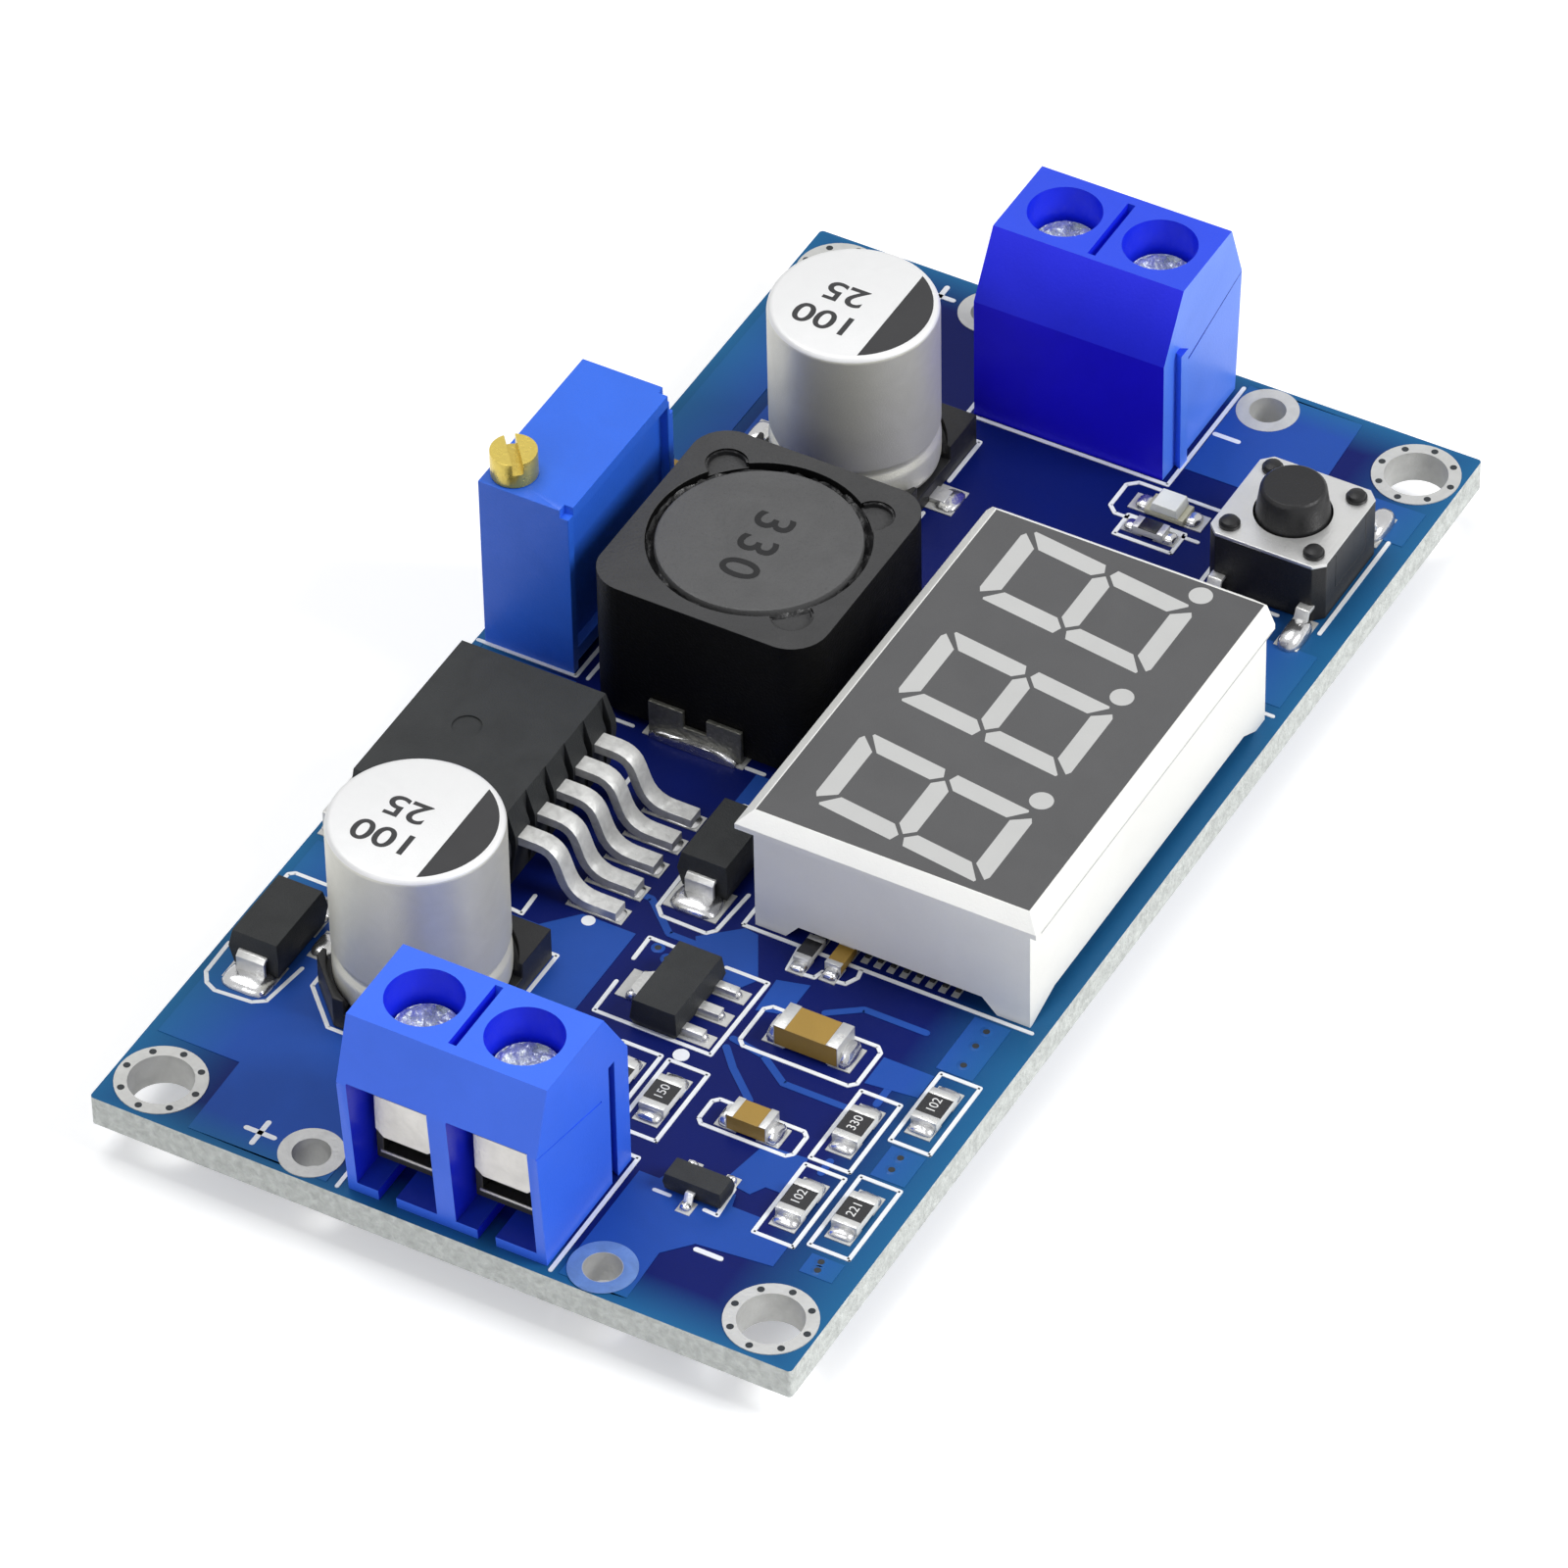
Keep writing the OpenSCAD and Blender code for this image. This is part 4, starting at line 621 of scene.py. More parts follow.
SILK_OPEN = [
    # logic supply
    [(-15.9, 0.78), (-17.95, 0.75), (-17.97, -5.14), (-12.87, -5.19), (-12.87, -3.08)],
    [(-12.83, -0.9), (-12.81, 0.85), (-14.3, 0.82)],
    # transistor
    [(-26.3, -7.05), (-26.3, -7.8)], [(-26.35, -9.56), (-26.39, -10.21), (-24.65, -10.07)],
    [(-24.6, -9.3), (-24.6, -8.2)],
    # input diode
    [(-21.9, 17.1), (-23.94, 17.05), (-24.52, 16.66), (-24.78, 16.1), (-24.64, 14.27),
     (-24.28, 13.73), (-21.78, 13.4)],
    [(-20.0, 17.1), (-16.9, 17.05), (-16.7, 16.8), (-16.7, 13.7), (-16.9, 13.4), (-20.0, 13.4)],
    # output diode
    [(-8.7, 1.55), (-10.89, 1.52), (-11.37, 1.06), (-11.41, -1.23), (-11.04, -1.54), (-8.4, -1.7)],
    [(-6.1, 1.6), (-3.6, 1.55), (-3.45, 1.3), (-3.45, -1.5), (-3.6, -1.7), (-6.1, -1.72)],
    # regulator
    [(-14.12, 7.26), (-14.18, 6.6), (-12.9, 6.65)], [(-4.75, 6.7), (-3.45, 6.7), (-3.45, 7.3)],
    # input capacitor
    [(-21.3, 12.45), (-22.5, 12.45), (-24.42, 10.5), (-24.42, 3.87), (-21.3, 3.87)],
    [(-18.9, 3.87), (-15.75, 3.87), (-15.75, 12.45), (-18.9, 12.45)],
    # output capacitor
    [(20.1, 12.15), (23.15, 12.15), (23.15, 3.6), (20.1, 3.6)],
    [(17.6, 3.6), (14.6, 3.6), (14.6, 10.2), (16.5, 12.15), (17.6, 12.15)],
    # inductor
    *[[(x, start), (x, end)] for x in (-1.25, 11.25) for start, end in ((9.3, 8.3), (2.4, 1.5))],
    # trimmer
    [(0.42, 17.35), (0.42, 12.2), (10.2, 12.2), (10.2, 17.35)], [(0.52, 11.64), (2.01, 11.63)],
    # display
    [(-10.15, -2.4), (-10.15, -16.9)], [(-10.15, -2.4), (12.95, -2.4), (12.95, -16.9)],
    # small parts beside the display
    [(-10.2, -5.3), (-11.7, -5.5), (-11.6, -6.8), (-11.1, -6.95), (-11.4, -7.4), (-11.3, -8.2),
     (-10.7, -8.5), (-10.2, -8.4)],
    # switch
    *[[(18.85, y), (25.85, y)] for y in (-16.25, -9.85)], *[[(x, -12.1), (x, -14.0)] for x in (19.05, 25.65)],
    # indicator
    [(21.75, -8.5), (21.75, -4.2), (22.15, -3.75), (23.75, -3.75), (24.15, -4.2), (24.15, -8.5)],
    # terminals
    [(-32.6, -5.5), (-24.95, -5.5), (-24.95, 3.6)], [(-32.6, 5.15), (-26.5, 5.15)],
    [(32.3, -5.45), (24.6, -5.45), (24.6, 5.1), (32.3, 5.1)],
]
SILK_DOTS = [(-18.58, -4.01, 0.375), (-13.17, 3.77, 0.32)]
PLUS_MARKS = [(-31.4, 9.75), (31.4, 10.2)]
MINUS_MARKS = [(-28.57, -11.0), (28.8, -6.35)]

WIRE_PADS = [(-31.4, 7.15), (-31.42, -7.41), (31.42, -7.15), (31.45, 7.6)]

# copper areas under the mask
POURS = [
    # input plus, round its terminal, diode and capacitor
    [(-32.6, 5.7), (-32.6, 12.7), (-28.1, 12.8), (-28.1, 17.0), (-14.4, 17.0), (-14.4, 5.6),
     (-12.9, 4.2), (-12.9, 1.5), (-24.6, 1.5), (-24.6, 5.7)],
    # input minus
    [(-32.6, -5.9), (-32.5, -9.2), (-29.5, -9.1), (-28.3, -10.2), (-27.9, -13.8), (-26.4, -13.8),
     (-26.5, -12.0), (-25.6, -11.9), (-25.6, -10.5), (-24.9, -10.3), (-24.9, -7.2), (-25.6, -6.9),
     (-25.6, -5.9)],
    [(-24.4, -9.4), (-21.7, -9.9), (-21.5, -12.0), (-23.9, -12.2), (-23.9, -11.2), (-24.6, -10.8)],
    # beside the display
    [(-12.5, -5.4), (-12.1, -6.9), (-14.2, -6.9), (-14.6, -5.5)],
    [(-14.5, -11.9), (-14.5, -14.4), (-16.0, -14.4), (-16.3, -11.9)],
    rectangle(-14.0, -10.4, -16.0, -14.2), rectangle(-21.1, -19.1, -16.5, -14.8),
    rectangle(-27.6, -26.4, -16.5, -14.9),
    # under the regulator, the trimmer and the inductor
    [(-11.8, -0.9), (-10.3, -2.6), (-10.4, -3.3), (-12.9, -4.7), (-14.1, -4.0), (-13.3, -2.0)],
    rectangle(-13.8, -3.8, 9.3, 16.9), rectangle(-2.9, 0.1, 12.0, 17.0), rectangle(-4.3, -1.4, -1.7, 1.8),
    # output plus and the far corner
    rectangle(17.5, 22.6, 3.9, 13.6), rectangle(11.0, 27.8, 14.2, 17.0),
    # output minus, round the indicator and the switch
    [(26.0, -5.6), (32.6, -5.6), (32.6, -11.5), (28.4, -11.7), (26.0, -9.5)],
    rectangle(13.6, 17.4, -16.9, -13.4), [(25.9, -12.5), (28.3, -12.8), (28.4, -16.9), (25.9, -16.9)],
]
TRACES = [
    [(-17.2, -5.5), (-18.2, -6.4), (-19.6, -8.0)],
    [(-16.6, -5.5), (-16.9, -7.2), (-18.0, -8.8), (-18.0, -11.9)],
    [(-10.6, 2.4), (-10.6, 2.0), (-12.2, 0.2), (-12.2, -2.1)],
    [(-17.2, -13.0), (-15.6, -13.0)], [(-21.2, -12.9), (-22.0, -12.9)],
    [(-11.7, 17.2), (12.5, 17.2), (13.1, 16.6)], [(24.9, -14.9), (27.4, -14.9), (28.6, -13.8)],
    [(-13.3, -8.3), (-12.3, -9.7), (-12.3, -12.8)],
]
VIAS = [(-5.0, 4.35), (-5.4, 3.6), (-13.2, 0.2), (-13.6, -0.5), (-20.1, -4.3), (-20.5, -5.0),
        (-11.0, -15.1), (-12.0, -15.1), (-13.3, -15.2), (-19.6, -15.5), (-20.4, -15.5),
        (-26.7, -15.5), (-27.2, -15.6)]
HOLES = [(sx * 30.67, sy * 15.25) for sx, sy in QUARTERS]
VIA_RING = 1.8  # the small vias stand on this radius round a mounting hole
LAND_RIM = 1.3  # copper under the mask keeps this radius clear round a wire hole
TRACE_WIDE = 0.35
RING_VIA, VIA, COLLAR = 0.17, 0.16, 0.33  # radii
MARK_WIDE, PLUS_HALF, MINUS_HALF = 0.26, 0.7, 0.6


class CONVERTER_OT_board(bpy.types.Operator):
    """Board with its copper areas, tinned lands, vias and white lines"""

    bl_idname = "converter.board"
    bl_label = "Board"

    def wall(self, spot, normal, area):
        """The finish of an upright face: tinned in a hole, bare laminate on the outline."""
        if upright(normal):
            inside = abs(spot.x) < BOARD_HIGH.x - 0.3 and abs(spot.y) < BOARD_HIGH.y - 0.3
            return "tinned land" if inside else "cut laminate edge"
        return None

    def marks(self, bm, low, high):
        """The white lines, dots, plus and minus signs."""
        for points in [outline + outline[:1] for outline in SILK_CLOSED] + SILK_OPEN:
            strip_line(bm, points, millimetres("silk_width"), low, high)
        for x, y, r in SILK_DOTS:
            post(bm, x, y, r, low, high)
        for x, y in PLUS_MARKS:
            strip_line(bm, [(x - PLUS_HALF, y), (x + PLUS_HALF, y)], MARK_WIDE, low, high)
            strip_line(bm, [(x, y - PLUS_HALF), (x, y + PLUS_HALF)], MARK_WIDE, low, high)
        for x, y in MINUS_MARKS:
            strip_line(bm, [(x, y - MINUS_HALF), (x, y + MINUS_HALF)], MARK_WIDE, low, high)

    def execute(self, context):
        bm = cad_copy("circuit_board")
        soften(bm, 0.06, keep=lambda e: e.calc_length() > 2)
        paint(finished("circuit_board", bm, "solder mask", "board"), self.wall)
        step = millimetres("copper")
        copper = TOP + step
        bm = bmesh.new()
        for outline in POURS:
            xs, ys = zip(*outline)
            holes = [(x, y, LAND_RIM) for x, y in WIRE_PADS
                     if min(xs) < x < max(xs) and min(ys) < y < max(ys)]
            slab(bm, outline, TOP, copper, holes[0] if holes else None)
        for line in TRACES:
            strip_line(bm, line, TRACE_WIDE, TOP, TOP + step * 0.9)
        piece("copper_areas", bm, "mask over copper", "board")

        bm = bmesh.new()
        self.marks(bm, TOP - SINK, copper + 0.012)
        piece("silkscreen", bm, "silkscreen ink", "board")
        finished("tinned_lands", cad_copy("tinned_lands"), "tinned land", "tinned")

        bm = bmesh.new()
        turned(bm, *WIRE_PADS[1], [
            (0.9, LAND - SINK), (1.56, LAND - SINK), (1.56, LAND + 0.008), (1.5, LAND + 0.014),
            (0.98, LAND + 0.014), (0.9, LAND + 0.008), (0.9, LAND - SINK)], segments=64)
        piece("covered_ring", bm, "mask over a ring", "board", turn=True)

        # the vias' mouths are dark discs, the painted shade of their holes
        bm, collars = bmesh.new(), bmesh.new()
        for x, y in HOLES:
            for a in [tau * k / 8 - 0.035 for k in range(8)]:
                post(bm, x + VIA_RING * cos(a), y + VIA_RING * sin(a), RING_VIA,
                     LAND - 0.02, LAND + 0.006, segments=14)
        for x, y in VIAS:
            post(bm, x, y, VIA, copper - SINK, copper + 0.012, segments=14)
            post(collars, x, y, COLLAR, TOP + step * 0.5, copper + 0.006, top=0.3, segments=18)
        piece("via_mouths", bm, "via holes", "board")
        piece("via_collars", collars, "mask over copper", "board")
        return {"FINISHED"}


# ---- terminals: how near, in millimetres, the faces and edges of a housing lie to what they belong to
BORE_REACH = 2.35  # the bores' walls, and the slot between them, to a screw's axis
FRONT_REACH = 0.7  # the wire windows' posts to the front
END_REACH = 0.8  # the end wall to the -Y end
INNER_REACH = 2.0  # the side that faces the board's middle, and its slope, to that side
CHAMBER_DEPTH = 0.25  # the chambers' walls lie deeper than this
SMALL_AREA = 8


class CONVERTER_OT_terminals(bpy.types.Operator):
    """Both screw terminals with contacts, screws and cages"""

    bl_idname = "converter.terminals"
    bl_label = "Screw terminals"

    def is_jamb(self, edge, low, high):
        """Whether an upright edge bounds one of the wire windows at the housing's front."""
        a, b = [v.co for v in edge.verts]
        upright = abs(a.x - b.x) + abs(a.y - b.y) < 0.01 and edge.calc_length() > 1.5
        front = abs(a.x - (low.x if low.x < 0 else high.x)) < FRONT_REACH
        return upright and front and low.y + 0.3 < a.y < high.y - 0.3 and fold(edge) > 0.8

    def plastic(self, end, low, high, spot, normal, area):
        """Which plastic a face has: deep in the bores, and shaded as the photo's output terminal is; these
        copies of the blue are painted light and shade.
        """
        bores = [node_centre("%s_screw_%s" % (end, pole)) for pole in "12"]
        # painted shade: the bores' walls take a deeper copy of the blue
        if upright(normal) and min((spot - bore).xy.length for bore in bores) < BORE_REACH:
            return "bore plastic"
        # painted light: the output terminal's end wall takes a brighter blue
        if end == "output" and normal.y < -0.9 and spot.y < low.y + END_REACH:
            return "bright end plastic"
        if end == "output" and normal.x <= -0.8 and spot.x <= low.x + INNER_REACH:
            # painted highlight: small faces there, the rounded fold and edges, keep the input terminal's
            # brighter blue
            if area < SMALL_AREA:
                return "terminal plastic"
            # painted light on the inner slope, painted shade on the inner wall below the fold
            return "inner wall plastic" if normal.x < -0.995 else "inner slope plastic"
        inside = all(low[i] + CHAMBER_DEPTH < spot[i] < high[i] - CHAMBER_DEPTH for i in range(3))
        return "shaded terminal plastic" if inside and abs(normal.x) < 0.6 else None

    def front_plate(self, bm, x, deep, y, half, low, high, corner):
        """A thin upright plate before the cage, its lower corners rounded."""
        outline = [(y - half, high)]
        for side, begin in ((-1, pi), (1, 1.5 * pi)):
            for a in [begin + pi / 2 * k / 6 for k in range(7)]:
                outline.append((y + side * (half - corner) + corner * cos(a),
                                low + corner + corner * sin(a)))
        outline.append((y + half, high))
        grow(bm, [bm.faces.new([bm.verts.new((x, a, b)) for a, b in outline])], (deep, 0, 0))

    def screw(self, node):
        """A terminal screw: the CAD shank under a domed, dented head with a worn cross slot."""
        x, y, r, _, top = barrel(node)
        bm = cad_copy(node)
        bmesh.ops.holes_fill(bm, edges=cut_off(bm, (0, 0, top - 0.6), (0, 0, 1)))
        for v in bm.verts:
            v.tag = True
        dome = [(k / 18, top - 0.3 * (k / 18) ** 3) for k in range(18, -1, -1)]
        profile = [(0, top - 0.58), (r, top - 0.58), (r, top - 0.34), *[(r * k * 0.985, z) for k, z in dome]]
        for v in turned(bm, x, y, profile):
            if v.co.z >= top - 0.32:
                u, w = abs(v.co.x - x), abs(v.co.y - y)
                slot = max(0, 1 - (w / 0.36) ** 4)
                cross = max(0, 1 - (u / 0.34) ** 4) * max(0, 1 - (w / 1.05) ** 6)
                dent = 0.13 * noise(v.co * 2.4) + 0.09 * noise(v.co * 6.0)
                v.co.z = min(top, v.co.z - 0.07 + dent - 0.3 * max(slot, cross))
        finished(node, bm, "zinc plated steel", "zinc", body=node, smooth=50, turn=True)

    def cage(self, node):
        """A rising cage, in painted shade below its bar, with thin plates on its front."""
        low, high = corners(node)
        sill, bar = sorted({round(v.co.z / MM, 2) for v in NODES[node].data.vertices})[-3:-1]
        edge = millimetres("round_metal")
        cage = dress(node, "nickel plated brass", "zinc", edge, body=node, small=0.1)
        # painted shade: the cage's nickel is darkened below its bar
        paint(cage, lambda spot, normal, area: "nickel in the dark" if spot.z < bar + 0.05 else None)
        x, out = (low.x, -0.06) if low.x < 0 else (high.x, 0.06)
        y, half = (low.y + high.y) / 2, (high.y - low.y) / 2 - 0.03
        bm = bmesh.new()
        self.front_plate(bm, x, out, y, half, bar - 0.28, high.z - 0.04, 0.42)
        self.front_plate(bm, x, out, y, half - 0.2, sill - 0.1, sill + 0.04, 0.06)
        bmesh.ops.recalc_face_normals(bm, faces=bm.faces)
        soften(bm, 0.02, angle=60)
        piece(node + "_front", bm, "nickel plated brass", "zinc", node)

    def execute(self, context):
        # the output housing's darker blue is painted shade
        for end, blue in (("input", "terminal plastic"), ("output", "deep terminal plastic")):
            node = end + "_terminal_housing"
            low, high = corners(node)
            bm = cad_copy(node)
            bevel(bm, [e for e in bm.edges if self.is_jamb(e, low, high)], millimetres("round_jamb"), 5)
            soften(bm, millimetres("round_housing"), segments=3, small=0.9)
            housing = finished(node, bm, blue, "terminal_blue", crease=1.0)
            paint(housing, lambda *face: self.plastic(end, low, high, *face))
            edge = millimetres("round_metal")
            dress(end + "_terminal_contacts", "nickel plated brass", "nickel", edge, small=0.1)
            for pole in "12":
                self.screw("%s_screw_%s" % (end, pole))
                self.cage("%s_cage_%s" % (end, pole))
        return {"FINISHED"}


# ---- trimmer
class CONVERTER_OT_trimmer(bpy.types.Operator):
    """Trimmer with its brass screw"""

    bl_idname = "converter.trimmer"
    bl_label = "Trimmer"

    def execute(self, context):
        dress("trimmer_housing", "trimmer plastic", "trimmer_blue", 0.08, crease=1.0, small=0.3)
        dress("trimmer_base", "cast resin", "potting", 0.06)
        tin("trimmer_pins", 0.05)
        dress("trimmer_screw", "turned brass", "brass", 0.06, body="trimmer_rotor", small=0.05)
        return {"FINISHED"}


# ---- inductor
class CONVERTER_OT_inductor(bpy.types.Operator):
    """Shielded inductor"""

    bl_idname = "converter.inductor"
    bl_label = "Inductor"

    def shield(self):
        """The square shield with crumbs of glue in its corner pockets."""
        bm = cad_copy("inductor_shield")
        soften(bm, millimetres("round_shield"), segments=4, angle=60, small=0.35)
        shield = finished("inductor_shield", bm, "ground ferrite", "ferrite")
        # the sides are as-fired ferrite, darker than the ground top, and darkened further as painted shade
        paint(shield, lambda spot, normal, area: "fired ferrite" if normal.z < 0.45 else None)
        x, y, _, _, top = barrel("inductor_shield")
        bore = barrel("inductor_adhesive")[2] + 0.2
        bm = bmesh.new()
        for turn in map(radians, (45, -45, -135)):
            cx, cy = x + bore * cos(turn), y + bore * sin(turn)
            strip_line(bm, [(cx + 0.96 * cos(turn + a * 0.21), cy + 0.96 * sin(turn + a * 0.21))
                            for a in range(-8, 9)], 0.16, top - 0.31, top - 0.08)
        for v in bm.verts:
            if v.co.z > top - 0.2:
                v.co.z += 0.07 * noise(v.co * 3)
        piece("inductor_pocket_glue", bm, "black glue", "adhesive")

    def execute(self, context):
        self.shield()
        x, y, r, foot, top = barrel("inductor_core")
        drum = 2.3  # the core's radius within the winding
        bm = bmesh.new()
        turned(bm, x, y, [
            (0, foot), (r - 0.1, foot), (r, foot + 0.1), (r, foot + 1.1), (r - 0.1, foot + 1.2),
            (drum, foot + 1.2), (drum, top - 1.45), (r - 0.1, top - 1.45), (r, top - 1.35),
            (r, top - 0.16), (r - 0.05, top - 0.05), (r - 0.16, top), (0, top)], segments=96)
        finished("inductor_core", bm, "ferrite core", "ferrite_disc", turn=True)
        bm = bmesh.new()
        add_text(bm, "330", 2.7, at(x - 0.4, y, top, 182), 0.03, spacing=1.25, bold=0.02)
        piece("inductor_figures", bm, "dark figures", "ferrite_disc")

        _, _, outer, foot, top = barrel("inductor_adhesive")
        bm = bmesh.new()
        turned(bm, x, y, [
            (r - 0.02, foot), (outer, foot), (outer, top - 0.05), (outer - 0.1, top - 0.12),
            ((r + outer) / 2, top - 0.2), (r + 0.08, top - 0.14), (r - 0.02, top - 0.05),
            (r - 0.02, foot)], segments=120)
        for v in bm.verts:
            if v.co.z > foot + 0.3:
                v.co.z += 0.22 * (noise(v.co * 2.2) - 0.15) + 0.14 * noise(v.co * 5.5)
                v.co.z = min(v.co.z, top)
        finished("inductor_adhesive", bm, "black glue", "adhesive", turn=True)

        _, _, wide, foot, top = barrel("inductor_winding")
        turns = 9
        wire = (top - foot) / turns
        groove = wide - wire / 2
        profile = [(drum, foot), (groove, foot)]
        for k in range(turns):
            for a in [pi * s / 6 for s in range(1, 6)]:
                profile.append((groove + sin(a) * wire / 2, foot + wire * (k + 0.5 - cos(a) / 2)))
        bm = bmesh.new()
        turned(bm, x, y, profile + [(groove, top), (drum, top), (drum, foot)])
        finished("inductor_winding", bm, "enamelled wire", "winding", turn=True)
        # the inductor's clips: a tin much darker and grainier than the leads' tin
        dress("inductor_clips", "aged tin", "tinned", 0.05)
        return {"FINISHED"}


# ---- capacitors: (step in from the wall, height) of a can's foot, waist and lip
CAN_FOOT = [(0.45, 0), (0.2, 0.06), (0.05, 0.2), (0, 0.45)]
CAN_WAIST = [(0, -0.5), (0.06, -0.3), (0.18, -0.12), (0.22, 0), (0.18, 0.12), (0.06, 0.3), (0, 0.5)]
CAN_LIP = [(0, -0.34), (0.03, -0.2), (0.1, -0.08), (0.2, -0.02), (0.32, 0)]


class CONVERTER_OT_capacitors(bpy.types.Operator):
    """Both electrolytic capacitors"""

    bl_idname = "converter.capacitors"
    bl_label = "Capacitors"

    def execute(self, context):
        for end in ("input", "output"):
            x, y, r, foot, top = barrel(end + "_capacitor_can")
            wall = [(r - step, level + rise) for level, part in (
                (foot, CAN_FOOT), (foot + 1.9, CAN_WAIST), (top, CAN_LIP)) for step, rise in part]
            bm = bmesh.new()
            turned(bm, x, y, [(0, foot), *wall, (0, top)], segments=112)
            can = finished(end + "_capacitor_can", bm, "drawn aluminium", "can", turn=True)
            paint(can, lambda spot, normal, area: "pressed can top" if spot.z > top - 0.15 else None)

            bm = bmesh.new()
            bmesh.ops.create_circle(bm, cap_ends=True, radius=r - 0.33, segments=96,
                                    matrix=Matrix.Translation((x, y, top - 0.004)))
            cut_off(bm, (x, y - 1.9, 0), (0, 1, 0))
            grow(bm, bm.faces[:], (0, 0, 0.01))
            for k, figures in enumerate(("100", "25")):
                place = at(x - 1.55 + 1.95 * k, y + 0.6, top, 90) @ Matrix.Diagonal((1.2, 1, 1, 1))
                add_text(bm, figures, 1.8, place, 0.01, bold=0.025)
            piece(end + "_capacitor_polarity", bm, "black print", "black_base")
            dress(end + "_capacitor_base", "black moulding", "black_base", 0.06, small=0.15)
            tin(end + "_capacitor_leads", 0.04)
        return {"FINISHED"}


# ---- regulator
LEAD_WIDE, LEAD_THICK = 0.8, 0.5


def lead_places():
    """X of the middle of each of the regulator's five leads."""
    low, high = corners("regulator_leads")
    pitch = (high.x - low.x - LEAD_WIDE) / 4
    return [low.x + LEAD_WIDE / 2 + k * pitch for k in range(5)]


class CONVERTER_OT_regulator(bpy.types.Operator):
    """Five lead regulator with its tab"""

    bl_idname = "converter.regulator"
    bl_label = "Regulator"

    def execute(self, context):
        edge = millimetres("round_package")
        dress("regulator_body", "package resin", "package", edge, crease=0.4, small=0.15)
        tin("regulator_tab", 0.07)
        low, high = corners("regulator_leads")
        sole = LAND + LEAD_THICK
        path = [(0, high.z), (2.75, high.z), (3.6, sole), (high.y - low.y, sole)]
        bm = bmesh.new()
        for x in lead_places():
            bent_sheet(bm, path, LEAD_THICK, LEAD_WIDE * 1.12, at(x, high.y, 0, -90), 0.95)
        bmesh.ops.recalc_face_normals(bm, faces=bm.faces)
        soften(bm, 0.03, angle=50)
        finished("regulator_leads", bm, "matte tinned lead", "tinned")
        return {"FINISHED"}


# ---- small packages
class CONVERTER_OT_packages(bpy.types.Operator):
    """Diodes, logic supply, transistor and controller"""

    bl_idname = "converter.packages"
    bl_label = "Small packages"

    def execute(self, context):
        for part in ("input_diode", "output_diode"):
            dress(part + "_body", "package resin", "package", millimetres("round_package"), small=0.1)
            tin(part + "_leads", 0.03)
        # the controller's leads, under the display, take nickel in painted shade
        for part, look in (("logic_supply", "tinned lead"), ("transistor", "tinned lead"),
                           ("controller", "nickel in the dark")):
            dress(part + "_body", "package resin", "package", 0.04, small=0.1)
            dress(part + "_leads", look, "tinned", 0.02)
        return {"FINISHED"}


# ---- chip parts
class CONVERTER_OT_chips(bpy.types.Operator):
    """Chip resistors, ceramic capacitors and the indicator"""

    bl_idname = "converter.chips"
    bl_label = "Chip parts"

    def execute(self, context):
        dress("ceramic_capacitor_bodies", "fired ceramic", "ceramic", 0.04)
        dress("chip_resistor_bodies", "alumina", "alumina", 0.02)
        dress("chip_resistor_glazes", "resistor glaze", "glaze", 0.015)
        tin("chip_end_caps", 0.015, small=0.02)
        dress("led_base", "indicator base", "substrate", 0.03)
        dress("led_lens", "indicator lens", "lens", 0.06)
        bm = bmesh.new()
        for k, (low, high, _) in enumerate(islands("chip_resistor_glazes")):
            middle, size = (low + high) / 2, high - low
            turn = 0 if size.x >= size.y - 0.1 else -90
            if size.z < 0.2 and min(size.x, size.y) > 1:
                figures = ("102", "221", "150", "472", "330")[k % 5]
                add_text(bm, figures, 0.62, at(middle.x, middle.y, high.z, turn), 0.012)
        piece("resistor_figures", bm, "white figures", "glaze")
        return {"FINISHED"}


# ---- switch
class CONVERTER_OT_switch(bpy.types.Operator):
    """Push switch"""

    bl_idname = "converter.switch"
    bl_label = "Push switch"

    def execute(self, context):
        rim = corners("switch_base")[1].z - 0.02
        bm = cad_copy("switch_base")
        soften(bm, 0.13, segments=4, angle=60, keep=lambda e: min(v.co.z for v in e.verts) > rim)
        soften(bm, 0.05, small=0.1)
        finished("switch_base", bm, "black moulding", "black_base")
        cover = dress("switch_cover", "pressed steel", "cover_steel", 0.04, small=0.1)
        x, y, _, _, top = barrel("switch_cover")
        paint(cover, lambda spot, normal, area: "black moulding" if spot.z < top - 0.32 else None)
        bm = bmesh.new()
        rivet = [(0, -0.1), (0.46, -0.1), (0.46, 0.16), (0.4, 0.3), (0.24, 0.37), (0, 0.39)]
        apart = 2.15  # from the middle to a rivet, along X and Y
        for sx, sy in QUARTERS:
            turned(bm, x + sx * apart, y + sy * apart, [(r, top + rise) for r, rise in rivet], segments=24)
        piece("switch_rivets", bm, "black moulding", "black_base", turn=True)
        dress("switch_button", "black moulding", "black_base", 0.06, body="button", small=0.02)
        tin("switch_leads", 0.03)
        dress("switch_dome", "pressed steel", "cover_steel", 0.01)
        return {"FINISHED"}


